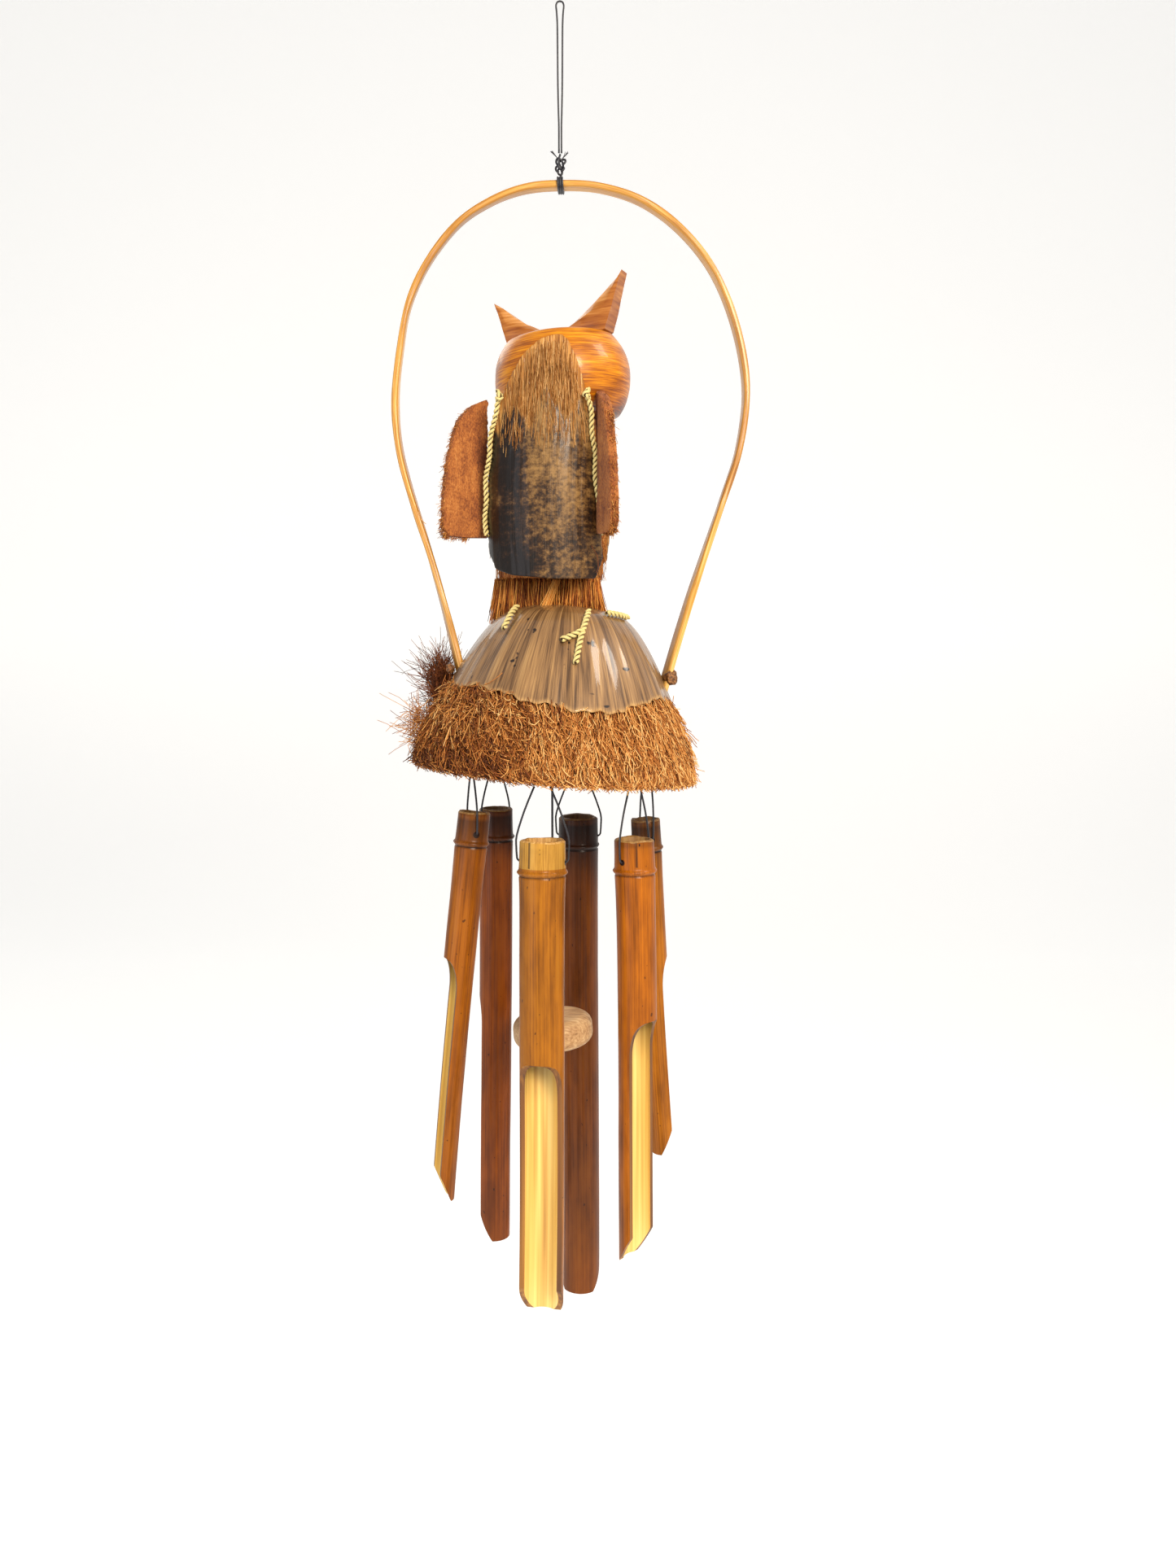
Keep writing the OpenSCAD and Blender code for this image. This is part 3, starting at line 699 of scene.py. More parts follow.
# ---------------------------------------------------------------- owl's body, husk and wings
# A block of pressed coir is faced front and back with curved slices of coconut husk, varnished on the
# outside. The back slice is shaved down to its fibre at the nape. The wings are sawn slices of husk, sewn
# on with raffia.

HUSK_IN, HUSK_OUT = 0.0306, 0.0340
BACK_LEFT = np.array([(3, -169), (-4, -171), (-12, -177), (-19, -187), (-25, -198), (-29, -215),
                      (-32, -234), (-33, -252), (-32, -272), (-28, -281), (-19, -284.5),
                      (-8, -285.6)]) / 1000
BACK_RIGHT = np.array([(6, -169), (9, -171), (13, -178), (17, -190), (20, -205), (22, -226), (23, -244),
                       (26, -262), (27, -276), (23, -286), (12, -286.4), (0, -286.6)]) / 1000


def slab(left, right, rows, columns, rough, seed):
    """A sheet between two edge lines, each (across, height), as closed rings: for each row the outer face
    runs from left to right and the inner face back. Its half thickness is (1 - |2u - 1|^8)^(1/8), so that
    the rims are round. Returns across, height and depth (-1 to 1) for each corner; the edges waver by
    rough."""
    v = (1 - np.cos(np.pi * np.arange(rows) / (rows - 1))) / 2
    v = 0.35 * v + 0.65 * np.linspace(0, 1, rows)
    u = (1 - np.cos(np.pi * np.arange(columns) / (columns - 1))) / 2
    u = 0.5 * u + 0.5 * np.linspace(0, 1, columns)
    edges = []
    for line in (left, right):
        run = np.concatenate([[0], np.cumsum(np.linalg.norm(np.diff(line, axis=0), axis=1))])
        edges.append(np.stack([np.interp(v * run[-1], run, line[:, k]) for k in (0, 1)], axis=1))
    waver = rough * ripple(np.concatenate(edges)[:, [0, 1, 1]], 0.004, seed)
    edges[0][:, 0] += waver[:rows]
    edges[1][:, 0] += waver[rows:]
    flat = edges[0][:, None] * (1 - u[:, None]) + edges[1][:, None] * u[:, None]
    full = (1 - np.abs(2 * u - 1) ** 8) ** 0.125
    ends = np.clip(1 - np.abs(2 * v - 1) ** 40, 0, 1) ** 0.3
    depth = ends[:, None] * full
    ring = np.concatenate([flat, flat[:, -2:0:-1]], axis=1)
    return ring[..., 0], ring[..., 1], np.concatenate([depth, -depth[:, -2:0:-1]], axis=1)


def on_drum(across, height, radius, front):
    """A flat sheet rolled round the body's axis: across becomes the X of a point at this radius."""
    x = np.clip(across, -radius * 0.995, radius * 0.995)
    return np.stack([x, front * np.sqrt(radius**2 - x**2), height], axis=-1)


def husk_skin_material(name, dark, mid, light, roughness, coat):
    """Varnished outer skin of a coconut husk: mottled, with dark flecks 1 to 3 mm long and fine ribs along
    it. The shade attribute darkens whole areas, painted shade among them; the tone attribute turns it to
    dull shaved fibre."""
    material, tree, surface = new_material(name, roughness, Coat_Weight=coat, Coat_Roughness=0.1,
                                           Specular_IOR_Level=0.22)
    grain = node(tree, "Attribute", attribute_name="grain").outputs["Vector"]
    shade_in = node(tree, "Attribute", attribute_name="shade").outputs["Fac"]
    tone = node(tree, "Attribute", attribute_name="tone").outputs["Fac"]
    fibre = pattern(tree, grain, (1500, 1500, 60), Detail=3.0)
    fleck = pattern(tree, grain, (330, 330, 400), Detail=4.0, Roughness=0.7)
    cloud = pattern(tree, grain, (75, 75, 55), Detail=4.0)
    mottled = node(tree, "Mix", {0: 0.45, 2: fleck, 3: cloud}, data_type="FLOAT")
    darker = node(tree, "Math", {0: mottled.outputs[0], 1: shade_in}, operation="SUBTRACT")
    skin = node(tree, "ValToRGB", {"Fac": darker.outputs[0]}, [(0.33, dark), (0.41, "2e1c0e"), (0.475, mid),
                                                               (0.58, light)])
    raw = node(tree, "ValToRGB", {"Fac": fibre},
               [(0.30, "5f3815"), (0.45, "a0682c"), (0.58, "c28e4b"), (0.75, "deb579")])
    colour = node(tree, "Mix", {0: tone, 6: skin.outputs["Color"], 7: raw.outputs["Color"]}, data_type="RGBA")
    gloss = node(tree, "Mix", {0: tone, 2: roughness, 3: 0.75}, data_type="FLOAT")
    height = node(tree, "Mix", {0: 0.35, 2: fibre, 3: fleck}, data_type="FLOAT")
    dress(tree, surface, colour.outputs[2], height.outputs[0], 0.55, 0.0006, Roughness=gloss.outputs[0])
    return material


def coir_material(name, stops):
    """Coconut fibre, raw: each strand has its own brown, carried by the tone attribute, and a dry dull
    surface."""
    material, tree, surface = new_material(name, 0.72, Specular_IOR_Level=0.3)
    tone = node(tree, "Attribute", attribute_name="tone").outputs["Fac"]
    own = node(tree, "TexCoord").outputs["Object"]
    dust = node(tree, "TexNoise", {"Vector": own, "Scale": 700.0, "Detail": 2.0})
    mixed = node(tree, "Mix", {0: 0.25, 2: tone, 3: dust.outputs["Fac"]}, data_type="FLOAT")
    shade = node(tree, "ValToRGB", {"Fac": mixed.outputs[0]}, stops)
    connect(tree, surface, {"Base Color": shade.outputs["Color"]})
    return material


def strand_piece(name, lines, radii, tones, material):
    """Fibres as three-sided bars along lines, an (s, p, 3) array, each with its own tone."""
    corners, quads, ends, _ = bars(lines, radii, 3)
    tone = np.repeat(tones, len(corners) // len(tones))
    return put_mesh(name, corners, quads, ends, material=material, tone=tone)


def curls(rng, roots, ways, lengths, bend, points=4):
    """Fibres that leave roots along ways and wander: root + length * (u * way + bend * u^2 * a + bend *
    sin(5u) * b / 5), with a and b random directions."""
    count = len(roots)
    u = np.linspace(0, 1, points)[None, :, None]
    a, b = rng.normal(size=(2, count, 1, 3))
    ways = ways / np.linalg.norm(ways, axis=1, keepdims=True)
    step = u * ways[:, None] + bend * (u**2 * a + np.sin(5 * u) * b / 5)
    return roots[:, None] + lengths[:, None, None] * step


COIR = coir_material("coir_raw", [(0.12, "3c1a08"), (0.36, "864718"), (0.56, "c27c38"), (0.78, "e6ac62"),
                                  (1.0, "f6d596")])
RED_COIR = coir_material("coir_combed", [(0.15, "3c1808"), (0.36, "8c4616"), (0.55, "c4772c"),
                                         (0.78, "e6a44e"), (1.0, "f6ca80")])

across, height, depth = slab(BACK_LEFT, BACK_RIGHT, 130, 64, 0.0003, 21)
radius = (HUSK_IN + HUSK_OUT) / 2 + depth * (HUSK_OUT - HUSK_IN) / 2
ridge = 0.0006 * np.exp(-(((across + 0.013 + (height + 0.20) * 0.04) / 0.0022) ** 2))
groove = 0.00012 * np.sin(across * 1450 + 2.2 * np.sin(height * 70))
ragged = ripple(np.stack([across, 0 * across, 0 * across], -1).reshape(-1, 3), 0.011, 5)
ragged = height + 0.2030 + 0.0085 * ragged.reshape(across.shape) + 0.006 * (across < -0.008)
shaved = np.clip(ragged / 0.0035, 0, 1)
radius = radius + (depth > 0) * (ridge + groove * 0.7)
radius = radius - (depth > 0) * shaved * 0.0009 * (1 + np.sin(across * 2600) * 0.4)
back = on_drum(across * np.where(depth > 0, 1, 0.955), height, radius, -1) + (OWL_X, 0, 0)
# The shade attribute: painted shade over the left third, which faces away from the light, darker towards the
# bottom and paler down the middle.
left_painted_shade = 1 / (1 + np.exp((across + 0.0125) / 0.0016))
low_dark = np.clip((-0.243 - height) / 0.040, 0, 1)
middle_pale = np.exp(-(((across + 0.006) / 0.006) ** 2)) * np.clip((height + 0.265) / 0.03, 0, 1)
shade = 0.13 * left_painted_shade + 0.085 * low_dark - 0.035 * middle_pale + 0.012
BACK_SKIN = husk_skin_material("coconut_husk_skin_varnished", "120a05", "5c4122", "8a683a", 0.42, 0.16)
back_grain = np.stack([across, 0 * across, height], axis=-1)
corners, quads, ends = loft(back)
piece = put_mesh("back_husk_slice", corners, quads, ends, material=BACK_SKIN, grain=with_middles(back_grain),
                 tone=np.append(shaved.ravel(), [1, 0]), shade=np.append(shade.ravel(), [0, 0.2]))
settle(outward(piece), "chime", "back_skin", "back_husk")

rng = np.random.default_rng(31)
count = 900
hair_z = rng.uniform(-0.212, -0.172, count)
hair_l = np.interp(-hair_z, -BACK_LEFT[:, 1], BACK_LEFT[:, 0])
hair_r = np.interp(-hair_z, -BACK_RIGHT[:, 1], BACK_RIGHT[:, 0])
hair_x = hair_l + (hair_r - hair_l) * rng.uniform(0.06, 0.94, count)
hair_root = on_drum(hair_x, hair_z, HUSK_OUT - 0.0004, -1) + (OWL_X, 0, 0)
hair_way = np.stack([0.08 * rng.normal(size=count), -0.06 + 0.05 * rng.normal(size=count), -np.ones(count)],
                    axis=1)
hairs = curls(rng, hair_root, hair_way, rng.uniform(0.006, 0.015, count), 0.035)
hairs[..., 1] = np.minimum(hairs[..., 1],
                           -np.sqrt(np.clip(0.0338**2 - (hairs[..., 0] - OWL_X) ** 2, 0, None)))
SHAVED = coir_material("husk_fibre_shaved", [(0.15, "663914"), (0.45, "a46a2d"), (0.7, "cc9858"),
                                             (1.0, "e8c48e")])
settle(strand_piece("back_husk_shaved_fibre", hairs, 0.00012, rng.uniform(0.1, 0.9, count), SHAVED),
       "chime", "back_skin")
thread = smooth_line([(0.0155, -0.0285, -0.270), (0.0185, -0.0300, -0.275), (0.0190, -0.0305, -0.281),
                      (0.0178, -0.0300, -0.2835)], 5)
settle(strand_piece("back_husk_loose_thread", thread[None], 0.00022, np.array([0.1]), COIR), "chime",
       "back_skin")


def on_owl(points):
    """From the owl's own axes, face towards +Y, to its place on the chime."""
    return turned(points, OWL_TURN, 0.0, (OWL_X, 0, 0))


BREAST_SIDE = np.array([(0.5, -205), (19, -206), (22, -222), (25, -245), (24, -262), (22, -274),
                        (12, -280.5), (0.5, -284)]) / 1000
across, height, depth = slab(BREAST_SIDE * (-1, 1), BREAST_SIDE, 90, 48, 0.0003, 22)
radius = (HUSK_IN + HUSK_OUT) / 2 + depth * (HUSK_OUT - HUSK_IN) / 2
radius = radius + (depth > 0) * 0.0003 * np.sin(across * 1500 + 2 * np.sin(height * 80))
breast = on_owl(on_drum(across, height, radius, 1).reshape(-1, 3)).reshape(*across.shape, 3)
corners, quads, ends = loft(breast)
wide = with_middles(np.stack([across + 0.2, 0 * across, height], axis=-1))
piece = put_mesh("breast_husk_slice", corners, quads, ends, material=BACK_SKIN, grain=wide,
                 tone=np.full(len(wide), 0.35), shade=np.full(len(wide), -0.02))
settle(outward(piece), "chime", "body_coir", "breast_husk")

BLOCK_X = (-0.0275, 0.0250)


def block_taper(z):
    """The block is pared to 0.92 of its width over its lowest 20 mm."""
    return 1 - 0.08 * np.clip((-0.256 - z) / 0.016, 0, 1)


turn = 2 * np.pi * np.arange(96) / 96
rows = np.array([(1e-6, -0.2850), (0.7, -0.2850), (0.95, -0.2848), (1, -0.2835),
                 *[(1, z) for z in np.linspace(-0.280, -0.209, 30)], (0.985, -0.2055), (0.93, -0.2042),
                 (0.7, -0.2040), (1e-6, -0.2040)])
ring = np.stack([np.clip(0.0302 * np.cos(turn), *BLOCK_X), 0.0302 * np.sin(turn)], axis=1)
block = np.concatenate([ring[None] * rows[:, :1, None],
                        np.broadcast_to(rows[:, 1:, None], (len(rows), 96, 1))], axis=2)
block[..., :2] *= block_taper(block[..., 2:])
block[..., :2] *= (1 - 0.012 - 0.012 * ripple(block.reshape(-1, 3) * (1, 1, 0.25), 0.004,
                                              23).reshape(len(rows), 96))[..., None]
PRESSED = coir_material("coir_pressed", [(0.2, "4a230e"), (0.5, "8a4f22"), (0.8, "b47a40")])
body_tone = 0.5 + 0.22 * ripple(block.reshape(-1, 3) * (1, 1, 0.12), 0.002, 24)
piece = put_mesh("body_pressed_coir", on_owl(block.reshape(-1, 3)), grid_faces(len(rows), 96, True),
                 material=PRESSED, tone=body_tone)
settle(outward(piece, 1e-6), "chime", "body_coir", "body_block")
count = 3600
a = rng.uniform(0, 2 * np.pi, count)
root = np.stack([np.clip(0.0300 * np.cos(a), *BLOCK_X), 0.0300 * np.sin(a),
                 rng.uniform(-0.279, -0.206, count)], axis=1)
root[:, :2] *= block_taper(root[:, 2:])
way = np.stack([0.12 * rng.normal(size=count), 0.12 * rng.normal(size=count), -np.ones(count)], axis=1)
fibres = curls(rng, root, way, rng.uniform(0.006, 0.014, count), 0.03)
fibres[..., 2] = np.maximum(fibres[..., 2], -0.2856)
fibres[..., :2] *= 1 + 0.012 * np.sin(np.linspace(0, np.pi, 4))[None, :, None]
settle(strand_piece("body_coir_fibres", on_owl(fibres.reshape(-1, 3)).reshape(fibres.shape), 0.00013,
                    rng.uniform(0.1, 0.85, count), COIR), "chime", "body_coir")

WING_FLARE = math.radians(36 - 90)
WING_T = 0.005
WING_TIP = np.array([(0.2, -194), (9, -198), (16, -205), (20, -214), (24, -230), (26, -248), (26, -260),
                     (23, -264), (12, -264.5)]) / 1000
WING_SEAM = np.array([(0, -194), (0, -205), (0, -215), (0, -230), (0, -248), (0, -263.5), (0.2, -264)]) / 1000


def wing_material():
    """Husk sawn across its fibre: matt, soft like felt, red brown, with fibre ends 0.7 mm apart and darker
    clouds. The tone attribute darkens it round the sawn rim and paints shade on the inner face."""
    material, tree, surface = new_material("coconut_husk_sawn", 0.85, Sheen_Weight=0.08, Sheen_Roughness=0.5)
    grain = node(tree, "Attribute", attribute_name="grain").outputs["Vector"]
    tone = node(tree, "Attribute", attribute_name="tone").outputs["Fac"]
    felt = pattern(tree, grain, (1500, 1500, 800), Detail=4.0, Roughness=0.7)
    cloud = pattern(tree, grain, (120, 120, 70), Detail=3.0)
    both = node(tree, "Mix", {0: 0.4, 2: felt, 3: cloud}, data_type="FLOAT")
    rim = node(tree, "Math", {0: both.outputs[0], 1: tone}, operation="SUBTRACT")
    shade = node(tree, "ValToRGB", {"Fac": rim.outputs[0]},
                 [(0.28, "522308"), (0.40, "8a4818"), (0.50, "b36a2a"), (0.60, "c68440"), (0.72, "d9a160")])
    dress(tree, surface, shade.outputs["Color"], felt, 0.9, 0.0008)
    return material


WING = wing_material()


def on_wing(across, height, off, side):
    """From a wing's flat sheet (distance from its seam, height, distance off its inner face) to the chime."""
    flat = np.stack([side * across, off, height], axis=-1).reshape(-1, 3)
    return on_owl(turned(flat, side * WING_FLARE, 0.0, (side * 0.029, -0.014, 0)))


def wing(side, word):
    """A slab 5 mm thick with a slow cup across it, and a fringe of broken fibre round its sawn edge."""
    across, height, depth = slab(WING_SEAM, WING_TIP, 90, 44, 0.0004, 25 + side)
    cup = 0.0012 * np.sin(np.pi * across / 0.026) * np.sin(np.pi * (height + 0.264) / 0.07)
    off = WING_T / 2 + depth * (WING_T / 2 - 0.0001) - cup * 0.5
    off = off + 0.00012 * ripple(np.stack([across, off, height], -1).reshape(-1, 3), 0.003,
                                 27).reshape(off.shape)
    rings = on_wing(across, height, off, side).reshape(*across.shape, 3)
    corners, quads, ends = loft(rings)
    flat = with_middles(np.stack([across, off, height + side * 0.3], axis=-1))
    # Tone: darker round the sawn rim, and painted shade on the inner face.
    rim = 0.10 * (1 - np.abs(depth)) + 0.05 * (depth < 0)
    piece = put_mesh(f"wing_{word}_slice", corners, quads, ends, material=WING, grain=flat,
                     tone=np.append(rim.ravel(), [0, 0]))
    settle(outward(piece), "chime", "wing_felt", f"wing_{word}")
    rng = np.random.default_rng(40 + side)
    spot = rng.uniform(0, 1, 700) ** 0.8
    line = smooth_line(WING_TIP, 8)
    place = np.stack([np.interp(spot * (len(line) - 1), np.arange(len(line)), line[:, k]) for k in (0, 1)],
                     axis=1)
    off = rng.uniform(0.0004, WING_T - 0.0004, 700)
    root = on_wing(place[:, 0] - 0.0006, place[:, 1], off, side)
    ahead = on_wing(place[:, 0] + 0.3, place[:, 1] - 0.35, off, side) - root
    lines = curls(rng, root, ahead + 0.12 * rng.normal(size=root.shape), rng.uniform(0.001, 0.0028, 700),
                  0.25)
    settle(strand_piece(f"wing_{word}_edge_fibres", lines, 0.00012, rng.uniform(0.15, 0.75, 700), COIR),
           "chime", "wing_felt")


wing(-1, "left")
wing(1, "right")


def raffia_material():
    """Dried raffia palm leaf, twisted: cream, dry, with straw lines finer than 0.1 mm along each ply, and
    painted shade, dark brown, where the tone attribute says that two plies meet."""
    material, tree, surface = new_material("raffia_twisted", 0.65, Specular_IOR_Level=0.3)
    tone = node(tree, "Attribute", attribute_name="tone").outputs["Fac"]
    grain = node(tree, "Attribute", attribute_name="grain").outputs["Vector"]
    straw = pattern(tree, grain, (150, 1, 9), Detail=2.0)
    shade = node(tree, "ValToRGB", {"Fac": straw}, [(0.3, "b89a4e"), (0.5, "dfcb84"), (0.7, "f0e4b0")])
    # Painted shade in the groove between the plies.
    groove = node(tree, "ValToRGB", {"Fac": tone}, [(0.45, "4a3010"), (0.82, "ffffff")])
    colour = node(tree, "Mix", {0: 1.0, 6: shade.outputs["Color"], 7: groove.outputs["Color"]},
                  data_type="RGBA", blend_type="MULTIPLY")
    dress(tree, surface, colour.outputs[2], straw, 0.5, 0.0003)
    return material


RAFFIA = raffia_material()
PLY_OFFSET = 1.05


def two_ply(line, ply_r, pitch):
    """Two plies wound round a line: the line plus ply_r * 1.05 * (cos(2 pi s / pitch) n + sin(2 pi s /
    pitch) b), with s the distance along it and n, b square to it. The second ply is half a turn behind."""
    s = np.concatenate([[0], np.cumsum(np.linalg.norm(np.diff(line, axis=0), axis=1))])
    fine = np.arange(0, s[-1], pitch / 14)
    path = np.stack([np.interp(fine, s, line[:, k]) for k in range(3)], axis=1)
    along = np.gradient(path, axis=0)
    along /= np.linalg.norm(along, axis=1, keepdims=True)
    n = np.cross(along, (0.3, 0.9, 0.31))
    n /= np.linalg.norm(n, axis=1, keepdims=True)
    b = np.cross(along, n)
    t = 2 * np.pi * fine[:, None] / pitch
    return np.stack([path + PLY_OFFSET * ply_r * (np.cos(t + k) * n + np.sin(t + k) * b) for k in (0, np.pi)])


def raffia_piece(name, lines, ply_r, pitch):
    """Two-ply raffia along each line, as one piece. Its tone is the distance from the twist's own middle
    over two ply radii: small in the groove between the plies, where it paints shade, 1 on their crests."""
    pairs = [two_ply(line, ply_r, pitch) for line in lines]
    parts = [bars(pair, ply_r, 8, (0.2, 0.3, 0.93)) for pair in pairs]
    middles = [pair.mean(0) for pair in pairs]
    middles = [np.tile(np.concatenate([np.repeat(m, 8, axis=0), m[:1], m[-1:]]), (2, 1)) for m in middles]
    corners, quads, ends = joined(parts)
    tone = np.linalg.norm(corners - np.concatenate(middles), axis=1) / (2 * ply_r)
    run = np.concatenate([p[3].ravel() for p in parts])
    grain = np.stack([run, 0 * run, np.arange(len(run)) % 8], axis=1)
    return put_mesh(name, corners, quads, ends, material=RAFFIA, grain=grain, tone=tone)


for word, edge, sign in (("left", BACK_LEFT, -1), ("right", BACK_RIGHT, 1)):
    z = np.linspace(-0.1965, -0.2640, 24)
    x = np.interp(-z, -edge[:, 1], edge[:, 0]) + sign * 0.0004 + 0.0004 * np.sin(z * 300)
    seam = on_drum(x, z, 0.0352, -1) + (OWL_X, 0, 0)
    knot = seam[:1] + np.array([[0, 0, 0], [sign * 0.001, -0.0016, 0.0015], [-sign * 0.001, -0.002, -0.001],
                                [sign * 0.0012, -0.0005, -0.002]])
    seam = smooth_line(np.concatenate([knot[::-1], seam[1:]]), 3)
    settle(raffia_piece(f"wing_raffia_{word}_twist", [seam], 0.00072, 0.0056), "chime", "raffia",
           f"wing_raffia_{word}")


# ---------------------------------------------------------------- tail of combed coir
# Under the body the husk's own fibre is left long, combed straight down in three bunches and cut ragged. A
# few strands cross over. The bunches stand on the roof's cap and hide the peg.

TAIL_X = (-0.017, 0.0, 0.013)
rng = np.random.default_rng(51)
tail_lines, tail_tones = [], []
for middle in TAIL_X:
    count = 1500
    a = rng.uniform(0, 2 * np.pi, count)
    r = 0.0126 * np.sqrt(rng.uniform(0.35, 1.0, count))
    root = np.stack([OWL_X + middle + r * np.cos(a), r * np.sin(a), rng.uniform(-0.2875, -0.2840, count)],
                    axis=1)
    way = np.stack([0.10 * np.cos(a), 0.10 * np.sin(a), -np.ones(count)],
                   axis=1) + 0.05 * rng.normal(size=(count, 3))
    tail_lines.append(curls(rng, root, way, rng.uniform(0.013, 0.0235, count), 0.035, 5))
    tail_tones.append(rng.uniform(0.05, 0.9, count))
crossing = 60
root = np.stack([rng.uniform(-0.004, 0.0, crossing), -0.0135 - rng.uniform(0, 0.002, crossing),
                 np.full(crossing, -0.286)], 1)
way = np.tile([-0.42, -0.10, -1.0], (crossing, 1)) + 0.04 * rng.normal(size=(crossing, 3))
tail_lines.append(curls(rng, root, way, rng.uniform(0.016, 0.026, crossing), 0.02, 5))
tail_tones.append(rng.uniform(0.6, 1.0, crossing))
settle(strand_piece("tail_combed_strands", np.concatenate(tail_lines), 0.00017, np.concatenate(tail_tones),
                    RED_COIR), "chime", "tail_fibre", "tail_coir")
z = np.linspace(-0.2850, -0.3055, 12)
a = 2 * np.pi * np.arange(40) / 40
core = np.stack([0.0110 * (1 + 0.04 * np.sin(9 * a)) * np.cos(a),
                 0.0110 * (1 + 0.04 * np.cos(7 * a)) * np.sin(a)], axis=1)
for word, middle in zip(("left", "middle", "right"), TAIL_X):
    rings = np.concatenate([np.broadcast_to(core + (OWL_X + middle, 0), (12, 40, 2)),
                            np.broadcast_to(z[:, None, None], (12, 40, 1))], axis=2)
    corners, quads, ends = loft(rings)
    tone = 0.18 + 0.25 * ripple(corners * (1, 1, 0.05), 0.0016, 53)
    piece = put_mesh(f"tail_bunch_{word}", corners, quads, ends, material=RED_COIR, tone=tone)
    settle(outward(piece), "chime", "tail_fibre")


# ---------------------------------------------------------------- roof of husk skin
# Half a coconut husk opened out over the coir: its skin runs down from the cap in radial folds, glossy with
# varnish and streaked dark, to a pale torn lip. Cords of raffia sewn through the cap tie the owl down.

RIM_R, CAP_R, ROOF_TOP, ROOF_LOW, DOME_K = 0.076, 0.028, -0.302, -0.386, 0.65
SKIN_END, SKIN_T = 0.52, 0.0025


def dome_r(t):
    """Radius of the roof: from the cap's 28 mm to the rim's 76 mm as the 0.65 power of t."""
    return CAP_R + (RIM_R - CAP_R) * np.maximum(t, 0) ** DOME_K


def on_roof(points):
    """From the roof's own axes to its place: leaned 4.5 degrees, right side down, about its middle."""
    return turned(np.asarray(points) - (0, 0, ROOF_PIVOT_Z), 0.0, ROOF_TILT, (ROOF_X, 0, ROOF_PIVOT_Z))


def folds(a, t):
    """Radial folds: five sine waves round the roof at 9 to 41 to the turn, drifting with t, which grow from
    the cap to the lip. Zero in the middle, about 1 at the crests."""
    waves = [(9, 0.5, 0.4), (14, 1.7, -0.6), (22, 0.2, 0.8), (31, 2.9, -0.3), (41, 4.1, 0.5)]
    high = sum(np.sin(n * a + p + q * np.sin(4 * t + n)) * 3.5 / (n + 3) for n, p, q in waves)
    return high * (0.5 + 0.9 * np.clip(t / SKIN_END, 0, 1))


def lip_t(a):
    """How far down the dome the torn skin reaches in each direction: half way, with one tongue 7 mm lower
    that faces 285 degrees, and small tears."""
    tear = sum(np.sin(n * a + p) * w for n, p, w in ((3, 0.4, 0.008), (7, 2.0, 0.010), (17, 1.1, 0.008),
                                                     (43, 0.6, 0.006)))
    off = (np.degrees(a) - 285 + 180) % 360 - 180
    return 0.495 + tear + 0.085 * np.exp(-((off / 26) ** 2))


def roof_skin_material():
    """Husk skin pulled into folds and varnished: grey brown, with painted shade in the folds and painted
    light on the crests, streaked down the slope every 2 mm or so with small black spots, glossy, dull and
    pale where the lip is torn."""
    material, tree, surface = new_material("coconut_husk_skin_folded_varnished", 0.38, Coat_Weight=0.5,
                                           Coat_Roughness=0.08, Specular_IOR_Level=0.35)
    grain = node(tree, "Attribute", attribute_name="grain").outputs["Vector"]
    tone = node(tree, "Attribute", attribute_name="tone").outputs["Fac"]
    shade_in = node(tree, "Attribute", attribute_name="shade").outputs["Fac"]
    streak = pattern(tree, grain, (420, 420, 22), Detail=4.0, Roughness=0.6)
    fibre = pattern(tree, grain, (1800, 1800, 60), Detail=2.0)
    spot = pattern(tree, grain, (130, 130, 160), Detail=2.0)
    spots = node(tree, "MapRange", {"Value": spot, "From Min": 0.70, "From Max": 0.75, "To Max": 0.3})
    both = node(tree, "Mix", {0: 0.3, 2: streak, 3: fibre}, data_type="FLOAT")
    # Painted light on the crests and painted shade in the folds.
    lifted = node(tree, "Math", {0: both.outputs[0], 1: shade_in}, operation="ADD")
    spotted = node(tree, "Math", {0: lifted.outputs[0], 1: spots.outputs["Result"]}, operation="SUBTRACT")
    skin = node(tree, "ValToRGB", {"Fac": spotted.outputs[0]},
                [(0.28, "1e1209"), (0.41, "573d24"), (0.50, "81603c"), (0.60, "9c774a"), (0.74, "bd9863")])
    torn = node(tree, "ValToRGB", {"Fac": fibre}, [(0.35, "8f6434"), (0.6, "c79e63")])
    colour = node(tree, "Mix", {0: tone, 6: skin.outputs["Color"], 7: torn.outputs["Color"]},
                  data_type="RGBA")
    gloss = node(tree, "Mix", {0: tone, 2: 0.38, 3: 0.8}, data_type="FLOAT")
    dress(tree, surface, colour.outputs[2], both.outputs[0], 0.45, 0.0008, Roughness=gloss.outputs[0])
    return material


